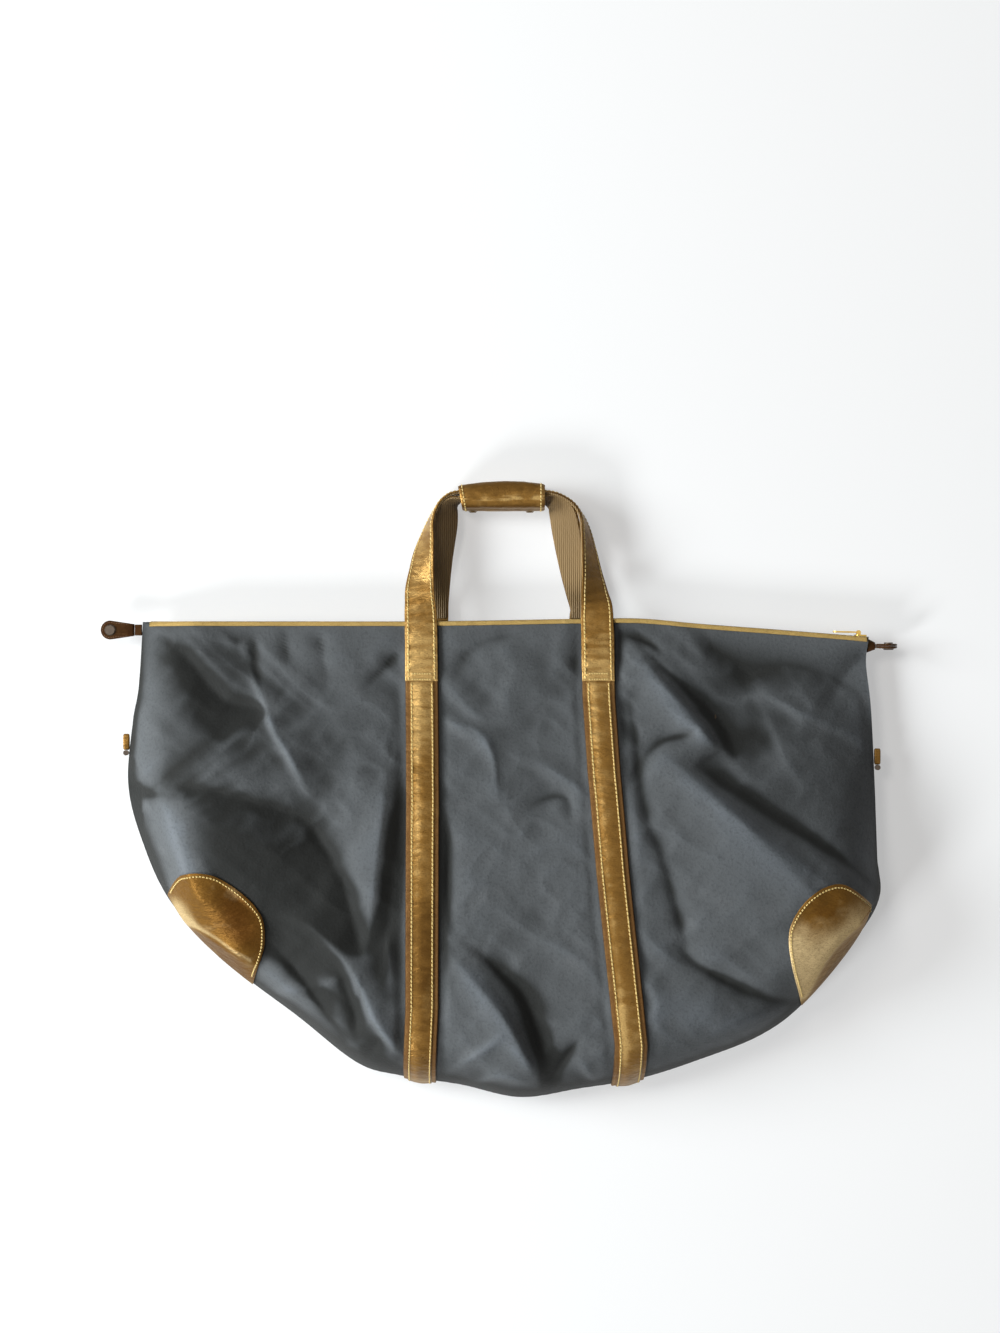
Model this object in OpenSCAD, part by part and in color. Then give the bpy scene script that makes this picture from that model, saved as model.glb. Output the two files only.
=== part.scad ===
// Large soft travel bag, lying on its back with the zip closed.
// Millimetres. Z is up, Y runs from the bottom fold to the handle, X along the mouth.
// The origin is under the middle of the whole bag, at the level it rests on.

/* [Body] */
// Level at which the front and the back panel are sewn together
seam_z = 22; // [18:1:30]
// Rise of the front panel over the seam
front_rise = 68; // [30:1:90]
// Extra rise at the two stiff bottom corners
corner_rise = 20; // [0:1:35]
// Thickness of the coated canvas
canvas_t = 2; // [1.2:0.1:3]
// Thickness of the lining
lining_t = 1; // [0.6:0.1:1.5]
// Opening between the two panels along the mouth
mouth_gap = 24; // [22:1:30]

/* [Straps] */
// Width of a body strap
strap_w = 34; // [28:1:40]
// Width of the narrower face sewn on a strap
face_w = 25; // [18:1:27]
// Thickness of each leather layer
leather_t = 1.6; // [1.2:0.1:1.8]
// Where the handle ends are tacked to the straps
tack_y = 112; // [90:1:130]
// Middle of the left strap at the mouth
left_strap_x = -81; // [-100:1:-60]
// Middle of the right strap at the mouth
right_strap_x = 103; // [85:1:115]
// How far the back straps come in from the front ones at the mouth
back_strap_in = 11; // [0:1:14]

/* [Handles] */
// Width of a handle ribbon
ribbon_w = 32; // [26:1:32]
// Thickness of a handle ribbon layer
ribbon_t = 2; // [1.5:0.1:2.2]
// Height of the handle ribbons over the resting level
grip_z = 22.5; // [20.5:0.5:26]
// Length of the leather wrap round both handles
wrap_l = 91; // [70:1:91]
// Thickness of the wrap leather
wrap_t = 2.4; // [1.8:0.1:2.6]

/* [Zip] */
// Length of the row of teeth, which the width of the body follows
zip_l = 697; // [600:1:780]
// Distance from tooth to tooth
tooth_pitch = 5; // [4:0.5:8]
// Slope of the mouth as the bag lies
mouth_tilt = -1.07; // [-1.2:0.01:-1]
// Length of the pull
pull_l = 27; // [18:1:34]

/* [Tabs] */
// Length of a zip end tab from its fold
tab_l = 36; // [28:1:38]
// Width of a zip end tab
tab_w = 20; // [14:1:21]
// Diameter of a press stud cap
stud_d = 12; // [8:0.5:13]

/* [Hidden] */

fit = 0.3;
ply_gap = 0.2;
strap_gap = 0.7;
patch_gap = 0.8;
face_in = strap_gap + leather_t + ply_gap;
strap_out = face_in + leather_t;
lap_out = strap_out + 0.4;
base_z = strap_out;
half_seam = fit / 2;

canvas_col = [0.20, 0.22, 0.24];
lining_col = [0.33, 0.27, 0.20];
leather_col = [0.50, 0.36, 0.16];
brown_col = [0.30, 0.18, 0.10];
brass_col = [0.80, 0.66, 0.36];
tape_col = [0.16, 0.15, 0.14];

// The outline as the bag lies, counterclockwise from the right end of the mouth
drawn = [
    [386.9, 159.1], [295.6, 166.4], [211.6, 172.7], [148.6, 178.2], [88.7, 178],
    [-64.6, 175.5], [-208.4, 175.3], [-313.4, 175.3], [-373.3, 174.8],
    [-377.5, 107.6], [-383.8, 69.8], [-388.5, 3.7], [-373.3, -56.2], [-344.9, -117.1],
    [-291.4, -176.9], [-210.5, -238.9], [-148.6, -287.2], [-103.4, -300.8],
    [-40.4, -310.3], [22.6, -323.6], [85.6, -314.5], [148.6, -304], [211.6, -284],
    [274.6, -258.8], [319.7, -225.2], [372.2, -161.2], [399.5, -115], [397.4, -69.8],
    [395.3, -6.8], [391.1, 82.4], [385.9, 129.7]];
left_corner = 8;
beyond_zip = 63.2;
spread = (zip_l + beyond_zip) / (drawn[0][0] - drawn[left_corner][0]);
function wide(list) = [for (p = list) [p[0] * spread, p[1]]];
outline = wide(drawn);
middle = [6.8 * spread, -12];
left_side_i = 11;
right_side_i = 28;
bottom_i = [12, 25];
steps = 3;

function ease(u) = let (c = max(0, min(1, u))) c * c * (3 - 2 * c);
function flat(rows) = [for (row = rows) for (p = row) p];
function unit(v) = v / norm(v);

// A smooth run between listed points, straight at the sharp ones
function slope(list, i, sharp) = let (n = len(list))
    len([for (s = sharp) if (s == i) 1]) > 0 ? 0 * list[0]
    : (list[(i + 1) % n] - list[(i + n - 1) % n]) / 2;
function between(list, i, u, sharp) =
    let (n = len(list), a = list[i], b = list[(i + 1) % n],
        ta = slope(list, i, sharp), tb = slope(list, (i + 1) % n, sharp),
        u2 = u * u, u3 = u2 * u)
    (2 * u3 - 3 * u2 + 1) * a + (u3 - 2 * u2 + u) * ta
    + (3 * u2 - 2 * u3) * b + (u3 - u2) * tb;
function smooth_loop(list, count, sharp) =
    [for (i = [0:len(list) - 1]) for (k = [0:count - 1]) between(list, i, k / count, sharp)];

rim = smooth_loop(outline, steps, [0, left_corner]);
rim_n = len(rim);

// Distance from the middle as a share of the distance to the rim in that direction
start_a = atan2(rim[0][1] - middle[1], rim[0][0] - middle[0]);
function turned(a) = a < start_a - 0.000001 ? a + 360 : a;
rim_table = concat([for (k = [0:rim_n - 1])
    [turned(atan2(rim[k][1] - middle[1], rim[k][0] - middle[0])), k]], [[start_a + 360, rim_n]]);
function out_t(x, y) = let (p = [x, y] - middle,
    k = min(rim_n - 1, floor(lookup(turned(atan2(p[1], p[0])), rim_table))),
    a = rim[k] - middle, d = rim[(k + 1) % rim_n] - rim[k])
    cross(p, d) / cross(a, d);

// The mouth line and the bottom fold as heights over X
mouth_run = [for (k = [left_corner * steps:-1:0]) rim[k]];
bottom_run = [for (k = [bottom_i[0] * steps:bottom_i[1] * steps]) rim[k]];
function mouth_y(x) = lookup(x, mouth_run);
function bottom_y(x) = lookup(x, bottom_run);

// How far the two panels part for the zip
mouth_left_fade = 60;
mouth_depth = 90;
mouth_corner_depth = 25;
mouth_right_fade = 60;
function parting(x, y) = let (d = mouth_y(x) - y,
    reach = mouth_corner_depth + (mouth_depth - mouth_corner_depth)
        * ease((rim[0][0] - x) / mouth_right_fade))
    (1 - ease(d / reach)) * ease((x - outline[left_corner][0]) / mouth_left_fade);

// The stiff bottom corners stand up as low peaks
left_peak = [-318 * spread, -138];
right_peak = [367 * spread, -138];
peak_r = 55;
function peak(x, y, p) = exp(-((x - p[0]) * (x - p[0]) + (y - p[1]) * (y - p[1]))
    / (2 * peak_r * peak_r));
edge_power = 8;
rise_depth = 230;
rim_t = 1.6;
half_mouth = (mouth_gap - fit) / 2;
// Where the straps run on the front, as X over Y
left_line = [[-310, -82.4], [-222, -78.2], [-12, -77.7], [180, left_strap_x]];
right_line = [[-308, 135], [-260, 136], [-172, 126.5], [-83, 117], [19, 108.7],
    [93, 104.5], [180, right_strap_x]];

// The main folds of the slack front, each from one point to another with its height
// and reach; the straps hold the canvas flat
folds = [
    [wide([[-324, 4], [-197, -31]]), -9, 34],
    [wide([[-338, -28], [-330, -50]]), 9, 25],
    [wide([[-190, -46], [-147, -140]]), -13, 36],
    [wide([[-137, -38], [-144, -118]]), 8, 18],
    [wide([[-202, -134], [-135, -216]]), 10, 24],
    [wide([[164, 117], [213, 60]]), 10, 24],
    [wide([[174, 122], [236, 52]]), -9, 24],
    [wide([[190, 20], [285, -68]]), 14, 36],
    [wide([[232, 14], [338, -52]]), -11, 26],
    [wide([[-34, -204], [6, -262]]), 8, 18],
    [wide([[-14, -190], [24, -252]]), -8, 16]];
hold_in = 34;
hold_out = 66;
function fold_off(p, a, d) = norm(p - a - max(0, min(1, ((p - a) * d) / (d * d))) * d);
function held(x, y) = ease((min(abs(x - lookup(y, left_line)), abs(x - lookup(y, right_line)))
    - hold_in) / (hold_out - hold_in));
function fold_z(x, y) = let (free = held(x, y)) free == 0 ? 0
    : free * [for (f = folds) 1] * [for (f = folds) f[1]
        * exp(-pow(fold_off([x, y], f[0][0], f[0][1] - f[0][0]) / f[2], 2))];
function front_seam(x, y) = seam_z + half_seam + half_mouth * parting(x, y);
function front_z(x, y) = front_seam(x, y) + rim_t
    + (front_rise * ease((mouth_y(x) - y) / rise_depth) + fold_z(x, y)
        + corner_rise * (peak(x, y, left_peak) + peak(x, y, right_peak)))
    * (1 - pow(out_t(x, y), edge_power));

// The back panel is flat except near its rim
flat_t = 0.86;
function back_edge(t) = 1 - pow(max(0, (t - flat_t) / (1 - flat_t)), 2);
function back_seam(x, y) = seam_z - half_seam - half_mouth * parting(x, y);
function back_z(x, y) = let (low = back_seam(x, y) - rim_t)
    low - (low - base_z) * back_edge(out_t(x, y));

function front_n(x, y) = unit([front_z(x - 1, y) - front_z(x + 1, y),
    front_z(x, y - 1) - front_z(x, y + 1), 2]);
function back_n(x, y) = unit([back_z(x + 1, y) - back_z(x - 1, y),
    back_z(x, y + 1) - back_z(x, y - 1), -2]);
function on_front(p, off) = [p[0], p[1], front_z(p[0], p[1])] + off * front_n(p[0], p[1]);
function on_back(p, off) = [p[0], p[1], back_z(p[0], p[1])] + off * back_n(p[0], p[1]);

// Closed solids from two matched sheets of points
function quad(a, b, c, d) = [[a, b, c], [a, c, d]];
module ring_solid(top, bottom, top_mid, bottom_mid) {
    m = len(top);
    n = len(top[0]);
    low = m * n;
    mids = 2 * m * n;
    polyhedron(points = concat(flat(top), flat(bottom), [top_mid, bottom_mid]),
        faces = concat(
            [for (j = [0:n - 1]) [mids, (j + 1) % n, j]],
            [for (j = [0:n - 1]) [mids + 1, low + j, low + (j + 1) % n]],
            [for (i = [0:m - 2]) for (j = [0:n - 1]) let (k = (j + 1) % n)
                for (f = quad(i * n + j, i * n + k, (i + 1) * n + k, (i + 1) * n + j)) f],
            [for (i = [0:m - 2]) for (j = [0:n - 1]) let (k = (j + 1) % n)
                for (f = quad(low + i * n + j, low + (i + 1) * n + j,
                    low + (i + 1) * n + k, low + i * n + k)) f],
            [for (j = [0:n - 1]) let (k = (j + 1) % n, t = (m - 1) * n)
                for (f = quad(low + t + j, t + j, t + k, low + t + k)) f]));
}
module sheet_solid(top, bottom) {
    m = len(top);
    n = len(top[0]);
    low = m * n;
    e = (m - 1) * n;
    polyhedron(points = concat(flat(top), flat(bottom)),
        faces = concat(
            [for (i = [0:m - 2]) for (j = [0:n - 2]) let (a = i * n + j)
                for (f = quad(a, a + 1, a + n + 1, a + n)) f],
            [for (i = [0:m - 2]) for (j = [0:n - 2]) let (a = low + i * n + j)
                for (f = quad(a, a + n, a + n + 1, a + 1)) f],
            [for (j = [0:n - 2]) for (f = quad(j + 1, j, low + j, low + j + 1)) f],
            [for (j = [0:n - 2]) let (a = e + j)
                for (f = quad(a, a + 1, low + a + 1, low + a)) f],
            [for (i = [0:m - 2]) let (a = i * n)
                for (f = quad(a, a + n, low + a + n, low + a)) f],
            [for (i = [0:m - 2]) let (a = i * n + n - 1)
                for (f = quad(a + n, a, low + a, low + a + n)) f]));
}

// The two panels and their linings
body_rings = [0.18, 0.29, 0.385, 0.47, 0.55, 0.625, 0.695, 0.765, 0.825];
front_rings = concat(body_rings, [0.87, 0.91, 0.945, 0.97, 0.987, 1]);
back_rings = [flat_t, 0.90, 0.93, 0.955, 0.98, 1];
seam_w = 4;
function scaled(t) = [for (p = rim) middle + t * (p - middle)];
function front_ring(t, off) = [for (p = scaled(t)) on_front(p, off)];
function back_ring(t, off) = [for (p = scaled(t)) on_back(p, off)];
function drawn_in(p) = p - seam_w * unit(p - middle);
function front_edge_rings() = [
    [for (p = rim) let (q = drawn_in(p))
        [q[0], q[1], max(front_seam(q[0], q[1]), front_z(q[0], q[1]) - canvas_t)]],
    [for (p = rim) [p[0], p[1], front_seam(p[0], p[1])]]];
function back_edge_rings() = [
    [for (p = rim) let (q = drawn_in(p))
        [q[0], q[1], min(back_seam(q[0], q[1]), back_z(q[0], q[1]) + canvas_t)]],
    [for (p = rim) [p[0], p[1], back_seam(p[0], p[1])]]];
inner_front_rings = concat(body_rings, [0.87, 0.91, 0.93, 0.955]);
inner_back_rings = [flat_t, 0.90, 0.93, 0.955];
module front_panel() {
    color(canvas_col) ring_solid(
        [for (t = front_rings) front_ring(t, 0)],
        concat([for (t = inner_front_rings) front_ring(t, -canvas_t)], front_edge_rings()),
        on_front(middle, 0), on_front(middle, -canvas_t));
}
module back_panel() {
    color(canvas_col) ring_solid(
        concat([for (t = inner_back_rings) back_ring(t, -canvas_t)], back_edge_rings()),
        [for (t = back_rings) back_ring(t, 0)],
        on_back(middle, -canvas_t), on_back(middle, 0));
}
lining_in = canvas_t + 0.6;
lining_rings = concat(body_rings, [0.87, 0.91]);
module front_lining() {
    color(lining_col) ring_solid(
        [for (t = lining_rings) front_ring(t, -lining_in)],
        [for (t = lining_rings) front_ring(t, -lining_in - lining_t)],
        on_front(middle, -lining_in), on_front(middle, -lining_in - lining_t));
}
module back_lining() {
    color(lining_col) ring_solid(
        [for (t = [0.5, flat_t, 0.9, 0.92]) back_ring(t, -lining_in - lining_t)],
        [for (t = [0.5, flat_t, 0.9, 0.92]) back_ring(t, -lining_in)],
        on_back(middle, -lining_in - lining_t), on_back(middle, -lining_in));
}

// Straps run down the front, round the bottom fold and up the back
binding_w = 5;
left_back_x = left_strap_x + back_strap_in;
right_back_x = right_strap_x - back_strap_in;
left_back_line = [[-310, -82.4], [-222, -78.2], [-12, -77.7], [148, left_back_x],
    [180, left_back_x]];
right_back_line = [[-308, 135], [-260, 136], [-172, 126.5], [-83, 117], [19, 106.5],
    [148, right_back_x], [180, right_back_x]];
face_cols = [for (c = [-2:2]) c * face_w / 4];
strap_cols = concat([-strap_w / 2], face_cols, [strap_w / 2]);
top_rows = [164, 156, 148, 138, 125, tack_y, 98, 82, 64, 44, 20, -6, -34, -64, -96, -128];
low_y = -128;
low_rows = [0.2, 0.37, 0.51, 0.63, 0.73, 0.81, 0.87, 0.92, 0.96, 1];
back_low_rows = [1, 0.96, 0.92, 0.87, 0.81, 0.73, 0.63];
function strap_x(line, y, c) = lookup(y, line) + c;
function low_point(line, u, c) = let (x = strap_x(line, -305, c),
    y = low_y + (bottom_y(x) - low_y) * u) [strap_x(line, y, c), y];
function strap_sheet(line, back_line, from, cols, off) = concat(
    [for (y = top_rows) if (y <= from) [for (c = cols)
        on_front([strap_x(line, y, c), y], off)]],
    [for (u = low_rows) [for (c = cols) on_front(low_point(line, u, c), off)]],
    [[for (c = cols) let (p = low_point(line, 1, c)) [p[0], p[1] - off, seam_z]]],
    [for (u = back_low_rows) [for (c = cols) on_back(low_point(back_line, u, c), off)]],
    [for (y = [low_y, 112, 125, 138, 148, 156, 164]) if (y <= from) [for (c = cols)
        on_back([strap_x(back_line, y, c), y], off)]]);
module strap(line, back_line, from, cols, off) {
    sheet_solid(strap_sheet(line, back_line, from, cols, off + leather_t),
        strap_sheet(line, back_line, from, cols, off));
}
backing_end = 164;
module left_strap_backing() {
    color(brown_col) strap(left_line, left_back_line, backing_end, strap_cols, strap_gap);
}
module right_strap_backing() {
    color(brown_col) strap(right_line, right_back_line, backing_end, strap_cols, strap_gap);
}
module left_strap_face() {
    color(leather_col) strap(left_line, left_back_line, tack_y, face_cols, face_in);
}
module right_strap_face() {
    color(leather_col) strap(right_line, right_back_line, tack_y, face_cols, face_in);
}

// The sewn ends of the handles lie on the straps, front and back
hinge_y = 179;
lap_end = hinge_y - fit / 2;
lap_rows = [tack_y + fit, 125, 138, 148, 156, 164, 169, 174, lap_end];
function cut_off(p) = [p[0], min(p[1], lap_end), p[2]];
function lap_sheet(line, front, off) = [for (y = lap_rows) [for (c = strap_cols)
    let (p = [strap_x(line, y, front ? -c : c), y])
    cut_off(front ? on_front(p, off) : on_back(p, off))]];
module lap(line, front) {
    sheet_solid(lap_sheet(line, front, front ? lap_out : strap_out),
        lap_sheet(line, front, face_in));
}
module front_left_lap() {
    color(leather_col) lap(left_line, true);
}
module front_right_lap() {
    color(leather_col) lap(right_line, true);
}
module back_left_lap() {
    color(leather_col) lap(left_back_line, false);
}
module back_right_lap() {
    color(leather_col) lap(right_back_line, false);
}

// Leather patches on the bottom corners
left_patch = wide([[-344, -112], [-322, -91], [-288, -95], [-252, -126], [-247, -158],
    [-259, -203], [-291, -176], [-320, -147]]);
right_patch = wide([[320, -224], [307, -175], [306, -139], [326, -110], [354, -101],
    [383, -121], [375, -154], [350, -190]]);
patch_rings = [0.25, 0.45, 0.6, 0.72, 0.82, 0.9, 0.95, 0.98];
function patch_mid(list) = [for (k = [0, 1]) let (v = [for (p = list) p[k]])
    (min(v) + max(v)) / 2];
module patch(list, sharp, front) {
    edge = smooth_loop(list, 3, sharp);
    mid = patch_mid(list);
    in_rings = [for (t = patch_rings) [for (p = edge) let (q = mid + t * (p - mid))
        front ? on_front(q, patch_gap) : on_back(q, patch_gap)]];
    out_rings = [for (t = patch_rings) [for (p = edge) let (q = mid + t * (p - mid))
        front ? on_front(q, patch_gap + leather_t) : on_back(q, patch_gap + leather_t)]];
    in_mid = front ? on_front(mid, patch_gap) : on_back(mid, patch_gap);
    out_mid = front ? on_front(mid, patch_gap + leather_t)
        : on_back(mid, patch_gap + leather_t);
    if (front) ring_solid(out_rings, in_rings, out_mid, in_mid);
    else ring_solid(in_rings, out_rings, in_mid, out_mid);
}
function turn_round(list) = [for (k = [len(list) - 1:-1:0]) list[k]];
module front_left_corner() {
    color(leather_col) patch(turn_round(left_patch), [2, 7], true);
}
module front_right_corner() {
    color(leather_col) patch(turn_round(right_patch), [2, 7], true);
}
module back_left_corner() {
    color(leather_col) patch(turn_round(left_patch), [2, 7], false);
}
module back_right_corner() {
    color(leather_col) patch(turn_round(right_patch), [2, 7], false);
}

// Leather bindings along the mouth
binding_out = 1.9;
binding_in = 0.8;
binding_ends = [7, 0.4];
module binding(front) {
    run = [for (p = mouth_run) if (p[0] > outline[left_corner][0] + binding_ends[0]
        && p[0] < outline[0][0] - binding_ends[1]) p];
    rows = [for (d = [0.2, binding_w / 2, binding_w]) [for (p = run) [p[0], p[1] - d]]];
    out = [for (row = rows) [for (p = row) front ? on_front(p, binding_out)
        : on_back(p, binding_out)]];
    in = [for (row = rows) [for (p = row) front ? on_front(p, binding_in)
        : on_back(p, binding_in)]];
    if (front) sheet_solid(out, in);
    else sheet_solid(in, out);
}
module front_binding() {
    color(leather_col) binding(true);
}
module back_binding() {
    color(leather_col) binding(false);
}

// The zip stands across the mouth, set back behind the bound edges
zip_right = outline[0] - [1.9, 1.7];
teeth_in = 2.6;
teeth_out = 4.2;
teeth_t = 3;
tip = 1.6;
tape_t = 1.2;
tape_out = mouth_gap / 2 + rim_t - canvas_t - 1.1;
tooth_w = tooth_pitch / 2 - fit;
teeth_n = floor(zip_l / tooth_pitch);
module at_zip(x = 0, y = 0) {
    translate([zip_right[0], zip_right[1], seam_z]) rotate([0, 0, mouth_tilt])
        translate([x, y, 0]) children();
}
module comb() {
    rotate([90, 0, 0]) linear_extrude(height = teeth_t, center = true) polygon(concat(
        [[0, teeth_out], [-teeth_n * tooth_pitch, teeth_out]],
        [for (k = [teeth_n - 1:-1:0]) each [
            [-(k + 1) * tooth_pitch, teeth_in], [-(k + 1) * tooth_pitch, -tip],
            [-(k + 1) * tooth_pitch + tooth_w, -tip],
            [-(k + 1) * tooth_pitch + tooth_w, teeth_in]]],
        [[0, teeth_in]]));
}
module front_zip_teeth() {
    color(brass_col) at_zip() comb();
}
module back_zip_teeth() {
    color(brass_col) at_zip(-tooth_pitch / 2) mirror([0, 0, 1]) comb();
}
module tape() {
    translate([-zip_l, -tape_t / 2, teeth_out + fit])
        cube([zip_l, tape_t, tape_out - teeth_out - fit]);
}
module front_zip_tape() {
    color(tape_col) at_zip() tape();
}
module back_zip_tape() {
    color(tape_col) at_zip() mirror([0, 0, 1]) tape();
}
stop_l = 5;
module zip_end_stop() {
    color(brass_col) at_zip(-(teeth_n + 0.5) * tooth_pitch - stop_l - fit) translate([0, -2, -4])
        cube([stop_l, 4, 8]);
}

// The slider rides on the outer face of the teeth, the pull hangs on its pin
slider_l = 13;
slider_x = -5;
slider_y = teeth_t / 2 + fit;
slider_w = 11;
plate_t = 2.2;
pin_y = slider_y + plate_t + 2.6;
pin_r = 1;
ear_in = 2.3;
ear_t = 1.2;
bore_gap = 0.35;
module ear(z) {
    translate([slider_x - 2, pin_y, z]) cylinder(r = 2, h = ear_t, $fn = 32);
    translate([slider_x - 4, slider_y + 1, z]) cube([4, pin_y - slider_y - 1, ear_t]);
}
module slider_body() {
    color(brass_col) at_zip() union() {
        translate([slider_x, slider_y, 0]) rotate([-90, 0, 0])
            linear_extrude(height = plate_t) intersection() {
                square([slider_l, slider_w], center = true);
                circle(r = slider_l / 2, $fn = 48);
            }
        for (s = [-1, 1]) translate([slider_x - 3.5, tape_t / 2 + fit, s > 0 ? 4.5 : -5.4])
            cube([7, slider_y + 0.5 - tape_t / 2 - fit, 0.9]);
        ear(ear_in);
        ear(-ear_in - ear_t);
        translate([slider_x - 2, pin_y, -ear_in - ear_t + 0.1])
            cylinder(r = pin_r, h = 2 * (ear_in + ear_t) - 0.2, $fn = 32);
    }
}
eye_r = 2.2;
eye_h = 2 * (ear_in - 0.35);
pull_t = 1.6;
pull_w = 7;
module pull_tab() {
    color(brass_col) at_zip(slider_x - 2, pin_y) difference() {
        union() {
            translate([0, 0, -eye_h / 2]) cylinder(r = eye_r, h = eye_h, $fn = 32);
            translate([-6, -pull_t / 2, -eye_h / 2]) cube([6, pull_t, eye_h]);
            rotate([-90, 0, 0]) translate([0, 0, -pull_t / 2])
                linear_extrude(height = pull_t) difference() {
                    union() {
                        translate([-pull_l + pull_w / 2, -pull_w / 2])
                            square([pull_l - pull_w / 2 - 4.5, pull_w]);
                        translate([-pull_l + pull_w / 2, 0]) circle(d = pull_w, $fn = 32);
                    }
                    translate([-pull_l + pull_w / 2, 0]) circle(d = 3, $fn = 24);
                }
        }
        translate([0, 0, -eye_h]) cylinder(r = pin_r + bore_gap, h = 2 * eye_h, $fn = 32);
    }
}

// Small leather tabs with a stud on the side seams
side_tab_l = 17;
side_tab_t = 4;
side_tab_w = 7;
left_side = [outline[left_side_i][0] + 1.3, 49];
right_side = [outline[right_side_i][0] - 1, 33.6];
module side_tab(p, s) {
    translate([p[0], p[1], seam_z]) translate([s > 0 ? 0 : -side_tab_w, -side_tab_l / 2,
        -side_tab_t / 2]) cube([side_tab_w, side_tab_l, side_tab_t]);
}
module side_stud(p, s) {
    translate([p[0] + s * 3.8, p[1] - side_tab_l / 2 - 3, seam_z - side_tab_t / 2 - 1])
        cylinder(d = 5.6, h = side_tab_t + 2, $fn = 32);
}
module left_side_tab() {
    color(leather_col) side_tab(left_side, -1);
}
module right_side_tab() {
    color(leather_col) side_tab(right_side, 1);
}
module left_side_stud() {
    color(brown_col) side_stud(left_side, -1);
}
module right_side_stud() {
    color(brown_col) side_stud(right_side, 1);
}

// Handle ribbons turn from flat at the mouth to on edge inside the wrap
front_start_z = seam_z + mouth_gap / 2 + rim_t + lap_out - ribbon_t;
back_start_z = seam_z - mouth_gap / 2 - rim_t - strap_out + ribbon_t;
front_path = [
    [left_strap_x, hinge_y + fit / 2, front_start_z, 0],
    [left_strap_x, 190, front_start_z, 5],
    [-84, 204, 33.5, 24], [-83.5, 226, 29, 44], [-80, 249, 26, 57], [-75, 271, 24, 73],
    [-68, 291, grip_z, 85], [-58, 303, grip_z, 90], [-43, 310, grip_z, 90],
    [-10, 311.8, grip_z, 90], [20, 311.8, grip_z, 90], [52, 310, grip_z, 90],
    [67, 305.5, grip_z, 90], [79, 297, grip_z, 90], [87, 286, grip_z, 84],
    [91.5, 270, 24, 72], [95, 248, 26, 60], [98, 224, 29.5, 46], [100.5, 201, 34, 24],
    [right_strap_x, 189, front_start_z, 5],
    [right_strap_x, hinge_y + fit / 2, front_start_z, 0]];
back_path = [
    [left_back_x, hinge_y + fit / 2, back_start_z, 0], [left_back_x, 190, back_start_z, 3],
    [-69, 206, 9, 16], [-65.5, 226, 13, 28], [-62, 248, 17, 44], [-59, 267, 20, 60],
    [-55.5, 283.5, 22, 76], [-51, 295.3, grip_z, 88], [-44.5, 302.2, grip_z, 90],
    [-33, 304, grip_z, 90], [0, 304, grip_z, 90], [38, 304, grip_z, 90],
    [50.5, 302.2, grip_z, 90], [57, 295.3, grip_z, 88], [61.5, 283.5, 22, 76],
    [66, 267, 20, 60], [72, 248, 17, 44], [80, 226, 13, 28], [88.5, 206, 9, 16],
    [right_back_x, 190, back_start_z, 3],
    [right_back_x, hinge_y + fit / 2, back_start_z, 0]];
function open_run(list, count) = concat(
    [for (i = [0:len(list) - 2]) for (k = [0:count - 1])
        let (n = len(list), a = list[i], b = list[i + 1],
            ta = i == 0 ? b - a : (b - list[i - 1]) / 2,
            tb = i == n - 2 ? b - a : (list[i + 2] - a) / 2,
            u = k / count, u2 = u * u, u3 = u2 * u)
        (2 * u3 - 3 * u2 + 1) * a + (u3 - 2 * u2 + u) * ta
        + (3 * u2 - 2 * u3) * b + (u3 - u2) * tb],
    [list[len(list) - 1]]);
module ribbon(path, lift, inner, outer) {
    run = open_run(path, 3);
    n = len(run);
    frames = [for (i = [0:n - 1]) let (a = run[max(0, i - 1)], b = run[min(n - 1, i + 1)],
        end = i == 0 || i == n - 1, t = end ? [0, i == 0 ? 1 : -1] : unit([b[0] - a[0],
        b[1] - a[1]]), s = [t[1], -t[0], 0], w = run[i][3])
        [[run[i][0], run[i][1], run[i][2]], cos(w) * s + [0, 0, lift * sin(w)],
            [0, 0, lift * cos(w)] - sin(w) * s]];
    top = [for (f = frames) [for (c = [-1, 0, 1]) f[0] + c * ribbon_w / 2 * f[1] + outer * f[2]]];
    low = [for (f = frames) [for (c = [-1, 0, 1]) f[0] + c * ribbon_w / 2 * f[1] + inner * f[2]]];
    if (lift > 0) sheet_solid(low, top);
    else sheet_solid(top, low);
}
half_ply = ply_gap / 2;
module front_handle_leather() {
    color(leather_col) ribbon(front_path, 1, half_ply, ribbon_t);
}
module front_handle_lining() {
    color(brown_col) ribbon(front_path, 1, -ribbon_t, -half_ply);
}
module back_handle_leather() {
    color(leather_col) ribbon(back_path, -1, half_ply, ribbon_t);
}
module back_handle_lining() {
    color(brown_col) ribbon(back_path, -1, -ribbon_t, -half_ply);
}

// The wrap closes round both handles with a lip and two flat press studs
wrap_mid = [3, 308.7];
wrap_h = ribbon_w / 2 + 0.6 + wrap_t;
wrap_y = 15.2;
wrap_r = 7.5;
lip_l = 15;
lip_t = 2;
stud_x = 30;
stud_r = 4.2;
stud_drop = 5;
module wrap_outline(grow) {
    offset(r = wrap_r + grow, $fn = 64) square([2 * (wrap_y - wrap_r), 2 * (wrap_h - wrap_r)],
        center = true);
}
module along_wrap() {
    translate([wrap_mid[0] - wrap_l / 2, wrap_mid[1], grip_z]) rotate([90, 0, 90])
        linear_extrude(height = wrap_l) children();
}
module wrap_under() {
    color(leather_col) difference() {
        along_wrap() difference() {
            wrap_outline(0);
            wrap_outline(-wrap_t);
            translate([-50, -fit / 2]) square([100, 50]);
        }
        for (s = [-1, 1]) translate([wrap_mid[0] + s * stud_x, wrap_mid[1] - wrap_y - 1,
            grip_z - stud_drop]) rotate([-90, 0, 0]) cylinder(r = stud_r + fit, h = wrap_t + 2, $fn = 48);
    }
}
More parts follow.
